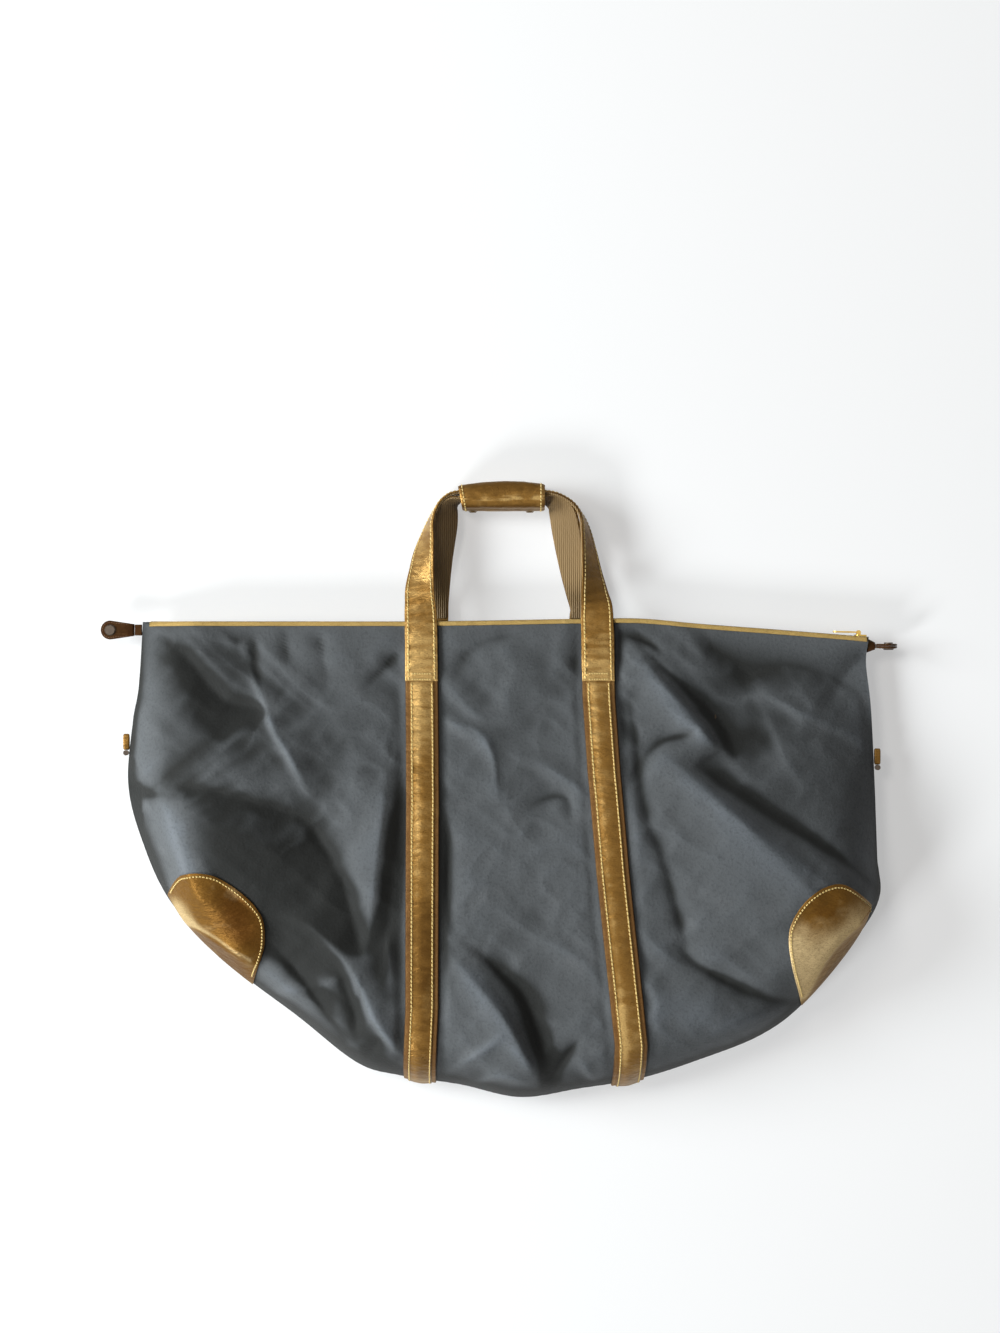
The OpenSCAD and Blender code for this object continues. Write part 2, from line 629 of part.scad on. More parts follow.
module wrap_flap() {
    color(leather_col) difference() {
        along_wrap() union() {
            difference() {
                wrap_outline(0);
                wrap_outline(-wrap_t);
                translate([-50, -50 + fit / 2]) square([100, 50]);
            }
            translate([-wrap_y - lip_t - fit, -lip_l + 5]) square([lip_t, lip_l]);
            translate([-wrap_y - lip_t - fit, 3]) square([lip_t + fit + 0.6, 2]);
        }
        for (s = [-1, 1]) translate([wrap_mid[0] + s * stud_x, wrap_mid[1] - wrap_y - lip_t - 2,
            grip_z - stud_drop]) rotate([-90, 0, 0]) cylinder(r = 2.3, h = lip_t + 3, $fn = 32);
    }
}
module wrap_studs() {
    color(brass_col) for (s = [-1, 1])
        translate([wrap_mid[0] + s * stud_x, wrap_mid[1] - wrap_y + 0.1, grip_z - stud_drop])
            rotate([-90, 0, 0]) cylinder(r = stud_r, h = wrap_t - 0.1, $fn = 48);
}
module wrap_caps() {
    color(brass_col) for (s = [-1, 1])
        translate([wrap_mid[0] + s * stud_x, wrap_mid[1] - wrap_y - fit, grip_z - stud_drop])
            rotate([90, 0, 0]) union() {
                cylinder(r = 2, h = lip_t + 0.3, $fn = 32);
                translate([0, 0, lip_t + 0.1]) cylinder(r1 = 4.5, r2 = 3.2, h = 1.1, $fn = 48);
            }
}

// Zip end tabs, two leather layers that fold about a round root
tab_t = 2.2;
knuckle = tab_t + half_ply;
root_l = 7.7;
root_w = 11.6;
left_fold = outline[left_corner] - [11.2, 8.4];
right_fold = outline[0] + [10.7, -9.5];
stud_at = tab_l - tab_w / 2;
module at_left() {
    translate([left_fold[0], left_fold[1], seam_z]) rotate([0, 0, 180]) children();
}
module at_right() {
    translate([right_fold[0], right_fold[1], seam_z]) rotate([90, 0, 0]) children();
}
right_tab_l = 21;
right_root_l = root_l + 0.6;
module tab_plan(l) {
    root_w = 0.62 * tab_w;
    end_r = min(tab_w, l) / 2;
    translate([l - end_r, 0]) circle(r = end_r, $fn = 48);
    polygon([[-knuckle, -root_w / 2], [l - end_r, -end_r], [l - end_r, end_r],
        [-knuckle, root_w / 2]]);
}
module tab_layer(l, side, at) {
    difference() {
        intersection() {
            translate([0, 0, -5]) linear_extrude(height = 10) tab_plan(l);
            rotate([90, 0, 0]) linear_extrude(height = tab_w + 4, center = true)
                intersection() {
                    union() {
                        circle(r = knuckle, $fn = 48);
                        translate([0, -knuckle]) square([l + 1, 2 * knuckle]);
                    }
                    translate([-10, side > 0 ? half_ply : -10]) square([l + 20,
                        10 - half_ply]);
                }
        }
        translate([at, 0, -6]) cylinder(r = 2.3, h = 12, $fn = 32);
    }
}
module tab_cap(at) {
    translate([at, 0, knuckle + 0.2]) cylinder(r1 = stud_d / 2, r2 = stud_d / 2 - 1.2, h = 1.6,
        $fn = 48);
    translate([at, 0, 0.2]) cylinder(r = 2, h = knuckle + 0.4, $fn = 32);
}
module tab_socket(at) {
    translate([at, 0, -knuckle - 1.4]) cylinder(r = 4.6, h = 1.2, $fn = 48);
    translate([at, 0, -knuckle - 0.6]) cylinder(r = 2, h = knuckle + 0.4, $fn = 32);
}
right_at = 12;
module left_tab_root() {
    color(brown_col) at_left() translate([-knuckle - fit - root_l, -root_w / 2,
        -knuckle]) cube([root_l, root_w, 2 * knuckle]);
}
module left_tab_upper() {
    color(brown_col) at_left() tab_layer(tab_l - 3, 1, stud_at - 3);
}
module left_tab_lower() {
    color(brown_col) at_left() tab_layer(tab_l - 3, -1, stud_at - 3);
}
module left_tab_cap() {
    color(brass_col) at_left() tab_cap(stud_at - 3);
}
module left_tab_socket() {
    color(brass_col) at_left() tab_socket(stud_at - 3);
}
module right_tab_root() {
    color(brown_col) at_right() translate([-knuckle - fit, 0, 0]) rotate([90, 0, 0])
        linear_extrude(height = root_w, center = true)
            polygon([[0, -4], [0, 4], [-right_root_l, 8], [-right_root_l, -7]]);
}
module right_tab_upper() {
    color(brown_col) at_right() tab_layer(right_tab_l, 1, right_at);
}
module right_tab_lower() {
    color(brown_col) at_right() tab_layer(right_tab_l, -1, right_at);
}
module right_tab_cap() {
    color(brass_col) at_right() tab_cap(right_at);
}
module right_tab_socket() {
    color(brass_col) at_right() tab_socket(right_at);
}

front_panel();
back_panel();
front_lining();
back_lining();
left_strap_backing();
right_strap_backing();
left_strap_face();
right_strap_face();
front_left_lap();
front_right_lap();
back_left_lap();
back_right_lap();
front_left_corner();
front_right_corner();
back_left_corner();
back_right_corner();
front_binding();
back_binding();
front_zip_tape();
back_zip_tape();
front_zip_teeth();
back_zip_teeth();
zip_end_stop();
slider_body();
pull_tab();
left_side_tab();
right_side_tab();
left_side_stud();
right_side_stud();
front_handle_leather();
front_handle_lining();
back_handle_leather();
back_handle_lining();
wrap_under();
wrap_flap();
wrap_studs();
wrap_caps();
left_tab_root();
left_tab_upper();
left_tab_lower();
left_tab_cap();
left_tab_socket();
right_tab_root();
right_tab_upper();
right_tab_lower();
right_tab_cap();
right_tab_socket();
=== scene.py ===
import math

import bmesh
import bpy
import numpy as np
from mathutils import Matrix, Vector


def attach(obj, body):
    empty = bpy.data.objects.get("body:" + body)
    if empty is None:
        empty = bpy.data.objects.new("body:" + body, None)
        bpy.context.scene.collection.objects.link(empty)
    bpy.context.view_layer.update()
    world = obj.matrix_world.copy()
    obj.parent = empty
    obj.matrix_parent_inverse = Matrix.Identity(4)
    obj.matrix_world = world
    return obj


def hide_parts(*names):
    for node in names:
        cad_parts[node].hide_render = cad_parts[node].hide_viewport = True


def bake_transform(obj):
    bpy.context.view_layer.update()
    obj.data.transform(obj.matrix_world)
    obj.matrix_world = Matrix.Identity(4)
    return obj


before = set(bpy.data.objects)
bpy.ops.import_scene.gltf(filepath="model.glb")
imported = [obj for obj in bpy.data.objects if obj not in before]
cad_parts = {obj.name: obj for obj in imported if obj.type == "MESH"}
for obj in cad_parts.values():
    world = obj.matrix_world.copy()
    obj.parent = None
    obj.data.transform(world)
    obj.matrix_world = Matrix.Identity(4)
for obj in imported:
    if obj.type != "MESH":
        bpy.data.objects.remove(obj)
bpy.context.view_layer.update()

# All shapes below are worked out in millimetres in the frame's own axes.
MM = 0.001
# The level where the two panels are sewn together and the one the back rests at, half the
# opening of the mouth, the rise of the front and the further rise of its lower corners, and
# half the thickness of the panels' edge.
SEAM_Z = 22.0
REST_Z = 4.1
HALF_MOUTH = 11.85
FRONT_RISE = 68.0
CORNER_RISE = 10.0
EDGE_T = 1.65
# Widths of a strap, of its narrower face and of a handle's lining, the place where the
# handles are tacked to the straps, and the level of the grip.
STRAP_W = 34.0
FACE_W = 25.0
RIBBON_W = 32.0
TACK_Y = 112.0
GRIP_Z = 22.5
# The canvas, the gap under it and the lining, and the level above which ridges are flattened.
CANVAS_T, LINING_GAP, LINING_T = 2.0, 0.7, 0.8
HIGHEST = 97.0
# How far over the canvas the strap's backing, its face and the handles' ends begin.
BACKING_UNDER, FACE_UNDER, LAP_UNDER = 0.7, 2.45, 2.5
# How far from the middle of a strap's face and of a handle their stitches run.
FACE_SEAM, HANDLE_SEAM = 10.6, 13.4

# The rim of the bag in plan, counterclockwise from the right end of the mouth, the middle
# from which it is measured, and how many steps its curve has from one point to the next.
MIDDLE = np.array([6.8, -12.0])
RIM_STEPS = 20
OUTLINE = np.array([
    (386.9, 159.1), (295.6, 166.4), (211.6, 172.7), (148.6, 178.2), (88.7, 178.0),
    (-64.6, 175.5), (-208.4, 175.3), (-313.4, 175.3), (-373.3, 174.8), (-377.5, 107.6),
    (-383.8, 69.8), (-388.5, 3.7), (-373.3, -56.2), (-344.9, -117.1), (-291.4, -176.9),
    (-210.5, -238.9), (-148.6, -287.2), (-103.4, -300.8), (-40.4, -310.3), (22.6, -323.6),
    (85.6, -314.5), (148.6, -304.0), (211.6, -284.0), (274.6, -258.8), (319.7, -225.2),
    (372.2, -161.2), (399.5, -115.0), (397.4, -69.8), (395.3, -6.8), (391.1, 82.4),
    (385.9, 129.7)])
# The outline's point at the left end of the mouth, and those between which the bag's lower
# end lies.
LEFT_CORNER = 8
BOTTOM_FROM, BOTTOM_TO = 12, 25


# ---- Curves and levels of the bag's body ----

def ease(u):
    """A smooth step from 0 to 1."""
    c = np.clip(u, 0.0, 1.0)
    return c * c * (3 - 2 * c)


def seen(points):
    """Points read off the photograph, in its pixels, as millimetres on the bag."""
    p = np.array(points, float)
    p[:, 0] = (p[:, 0] - 498.5) * 1.05
    p[:, 1] = (788.5 - p[:, 1]) * 1.05
    return p


def hermite(a, b, slope_a, slope_b, count):
    """Points on the curves from each a to each b that start and end with the given slopes."""
    u = (np.arange(count) / count)[None, :, None]
    u2, u3 = u * u, u ** 3
    a, b, slope_a, slope_b = (v[:, None] for v in (a, b, slope_a, slope_b))
    return ((2 * u3 - 3 * u2 + 1) * a + (u3 - 2 * u2 + u) * slope_a
            + (3 * u2 - 2 * u3) * b + (u3 - u2) * slope_b)


def smooth_loop(points, count, sharp=()):
    """A smooth closed line through points, with a corner at each of the sharp ones."""
    p = np.asarray(points, float)
    slopes = (np.roll(p, -1, 0) - np.roll(p, 1, 0)) / 2
    slopes[list(sharp)] = 0
    rows = hermite(p, np.roll(p, -1, 0), slopes, np.roll(slopes, -1, 0), count)
    return rows.reshape(-1, p.shape[1])


def smooth_run(points, count):
    """A smooth open line through points."""
    p = np.asarray(points, float)
    slopes = np.gradient(p, axis=0)
    rows = hermite(p[:-1], p[1:], slopes[:-1], slopes[1:], count)
    return np.vstack([rows.reshape(-1, p.shape[1]), p[-1:]])


def path_run(points):
    """How far along a line each of its points lies."""
    return np.concatenate([[0], np.cumsum(np.linalg.norm(np.diff(points, axis=0), axis=1))])


def at_runs(runs, run, values):
    """Values between the points of a line, at given distances along it."""
    return np.stack([np.interp(runs, run, column) for column in values.T], -1)


def resample(points, count):
    run = path_run(points)
    return at_runs(np.linspace(0, run[-1], count), run, points)


def pair_up(*parts):
    """Points from their x, y and perhaps z, which may be numbers, rows or columns."""
    return np.stack(np.broadcast_arrays(*parts), -1)


def side_name(front):
    return "front" if front else "back"


def squircle(count, power):
    """A unit loop between a circle and a square, which a higher power makes squarer."""
    angle = np.linspace(0, 2 * math.pi, count, endpoint=False)
    c, s = np.cos(angle), np.sin(angle)
    reach = (np.abs(c) ** power + np.abs(s) ** power) ** (-1 / power)
    return reach * c, reach * s


# The rim, its distance from the middle by angle, and its runs along the mouth and below.
rim = smooth_loop(OUTLINE, RIM_STEPS, (0, LEFT_CORNER))
rim_angle = np.unwrap(np.arctan2(rim[:, 1] - MIDDLE[1], rim[:, 0] - MIDDLE[0]))
rim_reach = np.hypot(*(rim - MIDDLE).T)
full_angle = np.append(rim_angle, rim_angle[0] + 2 * np.pi)
full_reach = np.append(rim_reach, rim_reach[0])
mouth_run = rim[:LEFT_CORNER * RIM_STEPS + 1][::-1]
bottom_run = rim[BOTTOM_FROM * RIM_STEPS:BOTTOM_TO * RIM_STEPS]


def out_t(x, y):
    """Distance from the body's middle as a share of the way to its rim."""
    angle = np.arctan2(y - MIDDLE[1], x - MIDDLE[0])
    angle = np.mod(angle - rim_angle[0], 2 * np.pi) + rim_angle[0]
    return np.hypot(x - MIDDLE[0], y - MIDDLE[1]) / np.interp(angle, full_angle, full_reach)


def mouth_y(x):
    return np.interp(x, mouth_run[:, 0], mouth_run[:, 1])


def bottom_y(x):
    return np.interp(x, bottom_run[:, 0], bottom_run[:, 1])


def parting(x, y):
    """How far the two panels stand apart for the zip, from 0 to 1."""
    reach = 25 + 65 * ease((OUTLINE[0, 0] - x) / 60)
    return ((1 - ease((mouth_y(x) - y) / reach))
            * ease((x - OUTLINE[LEFT_CORNER, 0]) / 60))


def peak(x, y, place):
    """A round hill of height 1 over a place."""
    return np.exp(-((x - place[0]) ** 2 + (y - place[1]) ** 2) / (2 * 55.0 ** 2))


def smooth_front(x, y):
    depth = np.clip((mouth_y(x) - y) / 250, 0, 1)
    rise = FRONT_RISE * (0.55 * ease(depth) + 0.45 * (1 - (1 - depth) ** 1.6))
    rise = rise + CORNER_RISE * (peak(x, y, (-318, -138)) + peak(x, y, (367, -138)))
    # The body rounds over more tightly on the right than at the left side.
    tightness = 14 - 5 * (1 - ease((x + 345) / 190))
    return (SEAM_Z + EDGE_T + HALF_MOUTH * parting(x, y)
            + rise * (1 - np.minimum(out_t(x, y), 1.02) ** tightness))


def smooth_back(x, y):
    low = SEAM_Z - EDGE_T - HALF_MOUTH * parting(x, y)
    edge = np.maximum(0, (out_t(x, y) - 0.86) / 0.14) ** 2
    return low - (low - REST_Z) * (1 - edge)


# ---- Folds of the canvas ----

# Each fold is a line over the front with a height at each point, and how far it spreads
# to the left and to the right of someone who walks along it: (left, right, points). The
# points are read off the photograph, with the height in millimetres.
FRONT_FOLDS = [
    (18, 22, [(148, 629, 0), (176, 648, -3), (193, 662, -5), (213, 688, -6),
              (233, 703, -6), (267, 709, -4), (276, 716, 0)]),
    (26, 9, [(250, 655, 0), (257, 680, 4), (268, 706, 6), (278, 731, 7), (291, 750, 7),
             (303, 772, 5), (316, 796, 0)]),
    (9, 9, [(251, 622, -1), (255, 645, -4), (258, 670, -4), (266, 694, 0)]),
    (8, 8, [(236, 622, 0), (238, 640, -2.5), (243, 660, 0)]),
    (9, 9, [(284, 622, 0), (286, 645, -3), (291, 668, 0)]),
    (8, 9, [(318, 622, 0), (322, 650, -2.5), (330, 692, 0)]),
    (10, 12, [(403, 644, 0), (392, 661, -4), (378, 674, -3), (362, 690, 0)]),
    (18, 20, [(178, 746, 0), (160, 762, 4), (136, 784, 2)]),
    (20, 40, [(165, 783, 0), (190, 785, -5), (213, 787, -7), (269, 803, -8),
              (311, 818, -7), (326, 840, -4), (343, 862, 0)]),
    (34, 26, [(314, 822, 0), (334, 850, -8), (350, 885, -10), (360, 925, -9),
              (367, 957, -2), (370, 975, 0)]),
    (26, 20, [(190, 830, 0), (214, 850, -4), (232, 880, -5), (262, 905, -4), (300, 915, 0)]),
    (30, 12, [(272, 906, 0), (304, 913, 4), (328, 930, 6), (352, 955, 8), (365, 978, 9),
              (375, 1002, 9), (390, 1027, 8), (405, 1050, 3)]),
    (30, 14, [(262, 925, 0), (285, 945, -6), (310, 975, -8), (330, 1005, -7), (352, 1040, 0)]),
    (12, 13, [(343, 958, 0), (351, 982, -5), (359, 1008, -6), (358, 1040, 0)]),
    (10, 10, [(385, 1026, 0), (375, 1044, -4), (363, 1060, -2)]),
    (7, 9, [(392, 920, 0), (392, 945, 2.5), (395, 985, 0)]),
    (14, 10, [(262, 990, 0), (290, 985, 3), (331, 976, 3), (345, 966, 0)]),
    (10, 24, [(444, 720, 0), (460, 723, 3), (476, 729, 4.5), (488, 742, 5),
              (495, 765, 4), (498, 800, 0)]),
    (12, 8, [(446, 800, 0), (450, 840, -4), (449, 885, -4), (452, 930, 0)]),
    (14, 26, [(446, 940, 0), (476, 975, 6), (500, 1004, 9), (520, 1038, 8), (537, 1074, 3)]),
    (26, 12, [(462, 930, 0), (498, 962, -6), (522, 988, -9), (537, 1026, -9),
              (547, 1068, -3)]),
    (8, 12, [(452, 1064, 1), (470, 1050, 4), (492, 1034, 4), (506, 1020, 0)]),
    (9, 8, [(580, 1026, 0), (568, 1044, -5), (554, 1066, -6), (549, 1084, -2)]),
    (10, 9, [(470, 1080, 2), (500, 1068, 4), (524, 1074, 2)]),
    (10, 10, [(556, 1036, 0), (548, 1060, -3), (543, 1084, -1)]),
    (14, 8, [(576, 1046, 0), (584, 1060, 4), (594, 1080, 2)]),
    (7, 7, [(526, 808, 0), (548, 795, -2), (566, 797, -2.5), (569, 828, 0)]),
    (10, 12, [(447, 700, 0), (462, 660, -2), (492, 640, -2.5), (540, 634, 0)]),
    (14, 42, [(622, 634, 0), (655, 677, 6), (681, 707, 9), (701, 731, 9), (714, 752, 0)]),
    (14, 10, [(624, 628, 0), (660, 666, -3), (690, 691, -5), (715, 718, -6), (728, 742, -5),
              (733, 762, 0)]),
    (7, 6, [(620, 629, 0), (637, 637, -4), (652, 645, -4), (664, 656, 0)]),
    (9, 9, [(697, 728, 0), (684, 734, -4), (661, 740, -4), (640, 757, 0)]),
    (24, 64, [(650, 748, 0), (664, 758, 5), (682, 772, 8), (701, 787, 10), (729, 812, 12),
              (758, 841, 13), (780, 863, 11), (800, 884, 6), (812, 900, 0)]),
    (16, 14, [(690, 762, 0), (716, 776, -4), (748, 796, -5), (788, 822, -6),
              (827, 848, -6), (858, 874, -4), (880, 894, -1)]),
    (30, 12, [(744, 680, 0), (764, 692, 2.5), (790, 707, 3.5), (829, 726, 4), (872, 748, 3)]),
    (30, 16, [(750, 688, 0), (766, 718, 3), (780, 752, 4), (794, 776, 3), (808, 796, 0)]),
    (8, 8, [(735, 652, 0), (747, 668, -3), (753, 682, 0)]),
    (22, 11, [(625, 680, 0), (633, 730, -4), (637, 778, -5), (645, 820, -4), (658, 850, -4),
              (667, 884, -5), (676, 917, -5), (684, 945, 0)]),
    (12, 24, [(672, 932, 0), (686, 953, -6), (712, 968, -8), (740, 981, -8), (768, 993, -4),
              (786, 994, 0)]),
    (12, 14, [(802, 640, 0), (815, 645, -2.5), (832, 644, 0)]),
    (26, 30, [(862, 640, 0), (858, 690, 3), (862, 740, 3), (866, 800, 2), (868, 850, 0)]),
    (14, 18, [(690, 1040, 0), (720, 1020, 3), (760, 1008, 3), (790, 1000, 0)]),
]

# Broad ridges whose sides fall in straight slopes, given the same way.
FRONT_SLOPES = [
    (90, 30, [(140, 628, 4), (140, 660, 12), (141, 700, 15), (142, 740, 13), (144, 776, 5)]),
    (140, 52, [(158, 786, 6), (178, 812, 21), (190, 842, 28), (200, 870, 27), (214, 900, 15),
               (226, 930, 4)]),
    (20, 60, [(222, 930, 0), (250, 950, 6), (300, 985, 8), (340, 1012, 6), (372, 1040, 0)]),
    (18, 62, [(389, 768, 2), (385, 812, 9), (380, 855, 12), (375, 905, 11), (366, 960, 3)]),
]

# Ridges of the stiff bottom corners, pressed into the leather patches.
CORNER_RIDGES = [
    (30, 16, [(188, 917, 15), (222, 935, 18), (245, 948, 15), (264, 958, 0)]),
    (24, 26, [(207, 868, 0), (200, 895, 5), (190, 918, 7)]),
    (12, 34, [(852, 917, 15), (828, 936, 17), (812, 960, 15), (803, 985, 8), (800, 1000, 0)]),
    (14, 16, [(852, 917, 8), (862, 913, 5), (876, 906, 0)]),
]

# Painted shade where the canvas's folds turn away from the light, or painted light with an
# amount under zero, given the same way.
FRONT_PAINTED_SHADE = [
    (30, 46, [(196, 802, 0.2), (222, 822, 0.45), (258, 843, 0.5), (300, 866, 0.5),
              (332, 892, 0.5), (348, 925, 0.3)]),
    (24, 30, [(240, 872, 0.1), (280, 890, 0.4), (322, 908, 0.5), (350, 946, 0.4),
              (372, 980, 0.1)]),
    (11, 13, [(400, 792, 0.3), (395, 830, 0.8), (392, 880, 1.0), (389, 930, 0.8),
              (386, 985, 0.3)]),
    (10, 8, [(441, 780, 0.2), (443, 830, 0.5), (445, 900, 0.5), (450, 960, 0.4),
             (462, 1010, 0.1)]),
    (16, 16, [(160, 655, 0.1), (190, 672, 0.4), (214, 694, 0.4), (238, 710, 0.1)]),
    (10, 10, [(684, 702, 0), (706, 722, 0.2), (724, 748, 0.2), (732, 765, 0)]),
    (10, 12, [(680, 764, 0.1), (720, 783, 0.2), (768, 812, 0.2), (818, 846, 0.3),
              (862, 880, 0.2)]),
    (60, 60, [(200, 735, 0.12), (290, 745, 0.2), (370, 760, 0.15)]),
    (30, 30, [(470, 668, 0.15), (570, 668, 0.15)]),
    (20, 20, [(740, 735, 0.2), (790, 740, 0.2)]),
    (30, 30, [(660, 1005, -0.3), (740, 1012, -0.3)]),
    (16, 14, [(488, 955, 0.1), (520, 985, 0.5), (538, 1026, 0.6), (546, 1064, 0.6),
              (550, 1086, 0.2)]),
    (10, 22, [(450, 1078, 0.3), (500, 1092, 0.4), (560, 1094, 0.4), (600, 1084, 0.3)]),
    (40, 60, [(858, 650, -0.15), (862, 720, -0.45), (866, 800, -0.5), (868, 870, -0.4),
              (872, 900, -0.1)]),
    (30, 40, [(262, 965, 0.1), (300, 985, 0.25), (340, 1010, 0.3), (372, 1036, 0.3)]),
    (110, 40, [(158, 636, 0.3), (166, 680, 0.4), (172, 740, 0.38), (186, 790, 0.15)]),
    (70, 90, [(640, 640, 0.2), (720, 660, 0.28), (800, 690, 0.3), (850, 760, 0.15),
              (860, 840, 0.05)]),
    (34, 34, [(222, 838, 0.1), (262, 858, 0.3), (310, 880, 0.3), (345, 925, 0.2)]),
]

# Rounding of the crest of a line of painted light or shade, which has no sharp middle line.
SOFT_CREST = 0.4

GRID_STEP = 2.0
grid_x = np.arange(-404.0, 414.0, GRID_STEP)
grid_y = np.arange(-332.0, 190.0, GRID_STEP)


def along(x, y, line):
    """Distance to a line, the side of it, and the height given at the nearest place."""
    distance = np.full(x.shape, 1e9)
    side = np.zeros(x.shape)
    height = np.zeros(x.shape)
    for a, b in zip(line[:-1], line[1:]):
        d = b[:2] - a[:2]
        u = np.clip(((x - a[0]) * d[0] + (y - a[1]) * d[1]) / (d @ d), 0, 1)
        dx, dy = x - a[0] - u * d[0], y - a[1] - u * d[1]
        r = np.hypot(dx, dy)
        near = r < distance
        distance = np.where(near, r, distance)
        side = np.where(near, d[0] * dy - d[1] * dx, side)
        height = np.where(near, a[2] + u * (b[2] - a[2]), height)
    return distance, side, height


def fold(x, y, left, right, points, rounding=0.1):
    """A ridge or hollow along a line, with a crest that a small rounding keeps crisp."""
    distance, side, height = along(x, y, smooth_run(seen(points), 4))
    u = distance / np.where(side > 0, left, right)
    return height * np.exp(-1.5 * (np.sqrt(u * u + rounding ** 2) - rounding))


def folds_at(x, y, rows, rounding=0.1):
    return sum(fold(x, y, *row, rounding) for row in rows)


def slope_ridge(x, y, left, right, points):
    """A ridge along a line whose sides fall straight to nothing."""
    distance, side, height = along(x, y, smooth_run(seen(points), 4))
    u = 1 - distance / np.where(side > 0, left, right)
    return height * (np.sqrt(u * u + 0.012) + u) / 2


def soft_noise(x, y, cell, seed):
    """Smooth bumps between -1 and 1, the same on every run."""
    lattice = np.random.default_rng(seed).uniform(-1, 1, (64, 64))
    u, v = x / cell + 17.3, y / cell + 29.1
    i, j = np.floor(u).astype(int), np.floor(v).astype(int)
    a, b = ease(u - i), ease(v - j)

    def value(m, n):
        return lattice[(i + m) % 64, (j + n) % 64]

    return ((value(0, 0) * (1 - a) + value(1, 0) * a) * (1 - b)
            + (value(0, 1) * (1 - a) + value(1, 1) * a) * b)


# The middle line of each strap, as x at listed y, on the front and on the back.
LEFT_LINE = np.array([(-310, -82.4), (-222, -78.2), (-12, -77.7), (180, -81.0)])
RIGHT_LINE = np.array([(-308, 135), (-260, 136), (-172, 126.5), (-83, 117), (19, 108.7),
                       (93, 104.5), (180, 103.0)])
LEFT_BACK_LINE = np.array([(-310, -82.4), (-222, -78.2), (-12, -77.7), (148, -70.0),
                           (180, -70.0)])
RIGHT_BACK_LINE = np.array([(-308, 135), (-260, 136), (-172, 126.5), (-83, 117), (19, 106.5),
                            (148, 92.0), (180, 92.0)])


def line_x(line, y):
    return np.interp(y, line[:, 0], line[:, 1])


def crumple(x, y, turn, scale):
    """Faint creases that run roughly one way, as in stiff coated canvas."""
    c, s = math.cos(turn), math.sin(turn)
    u, v = (x * c + y * s) / 1.9, -x * s + y * c
    wander = 14 * soft_noise(x, y, 90, 5)
    fine = 1 - 2 * np.abs(soft_noise(u, v + wander, 34, 11))
    finer = 1 - 2 * np.abs(soft_noise(u + wander, v, 17, 12))
    return scale * (1.3 * fine + 0.5 * finer + 1.8 * soft_noise(x, y, 70, 13))


def front_folds(x, y):
    """Height of the folds over the smooth front."""
    height = 1.15 * folds_at(x, y, FRONT_FOLDS)
    height = height + sum(slope_ridge(x, y, *row) for row in FRONT_SLOPES)
    # The upper right of the bag lies flatter.
    height = height - 12 * ease((x - 150) / 230) * ease((y + 100) / 110)
    height = height + crumple(x, y, -0.7, 0.9 + 0.4 * ease((y + 60) / 160))
    height = height + 0.6 * crumple(x + 300, y - 200, 0.9, 0.9)
    # The straps hold the canvas flat under them and pull it down along their edges.
    held = 0.0
    for line in (LEFT_LINE, RIGHT_LINE):
        off = np.abs(x - line_x(line, y))
        held = np.maximum(held, 1 - ease((off - 16) / 12))
        height = height - 1.6 * np.exp(-((off - 21) / 5) ** 2)
    height = height * (1 - 0.9 * held)
    ridges = folds_at(x, y, CORNER_RIDGES)
    pinch = fold(x, y, 12, 12, [(118, 786, -9), (136, 788, -9), (156, 792, -6), (190, 796, 0)])
    # Under the folded handles the canvas is pressed down a little.
    height = height - 5 * np.exp(-((x - 3) / 70) ** 2 - ((y - 45) / 48) ** 2)
    rim_share = np.minimum(out_t(x, y), 1)
    low = -0.8 * (smooth_front(x, y) - SEAM_Z - EDGE_T - HALF_MOUTH * parting(x, y))
    height = np.maximum(height * (1 - rim_share ** 22)
                        + (ridges + pinch) * (1 - rim_share ** 60), low)
    # The highest ridges lie flatter, so that none stands far above the rest.
    over = np.maximum(smooth_front(x, y) + height - HIGHEST, 0)
    return height - over + 10 * (1 - np.exp(-over / 10))


def back_folds(x, y):
    height = crumple(x, y, 0.5, 0.45)
    for line in (LEFT_BACK_LINE, RIGHT_BACK_LINE):
        held = 1 - ease((np.abs(x - line_x(line, y)) - 18) / 20)
        height = height * (1 - held)
    return np.maximum(height, -0.6) * (1 - np.minimum(out_t(x, y), 1) ** 12)


def blurred(height_map, cells):
    """A height map averaged over a square of its neighbours, twice."""
    for _ in range(2):
        for axis in (0, 1):
            pad = [(cells, cells) if k == axis else (0, 0) for k in (0, 1)]
            total = np.cumsum(np.pad(height_map, pad, mode="edge"), axis=axis)
            total = np.insert(total, 0, 0, axis=axis)
            n = height_map.shape[axis]
            upper = np.take(total, np.arange(n) + 2 * cells + 1, axis=axis)
            lower = np.take(total, np.arange(n), axis=axis)
            height_map = (upper - lower) / (2 * cells + 1)
    return height_map


mesh_x, mesh_y = np.meshgrid(grid_x, grid_y)
front_map = front_folds(mesh_x, mesh_y)
back_map = back_folds(mesh_x, mesh_y)


def painted_light_map(height_map, plain, marks):
    """How pale a panel is painted: painted shade in its hollows and painted light on its ridges.

    marks has pairs of the cells around a place and the height over them that counts as 1."""
    return plain + sum((height_map - blurred(height_map, cells)) / height
                       for cells, height in marks)


# The front's tone: painted shade in hollows and painted light on ridges, less the listed painted
# shade.
front_painted_light = np.clip(painted_light_map(front_map, 0.55, ((22, 25), (5, 9)))
                     - folds_at(mesh_x, mesh_y, FRONT_PAINTED_SHADE, SOFT_CREST), 0, 1)
back_painted_light = np.clip(painted_light_map(back_map, 0.5, ((12, 6),)), 0, 1)


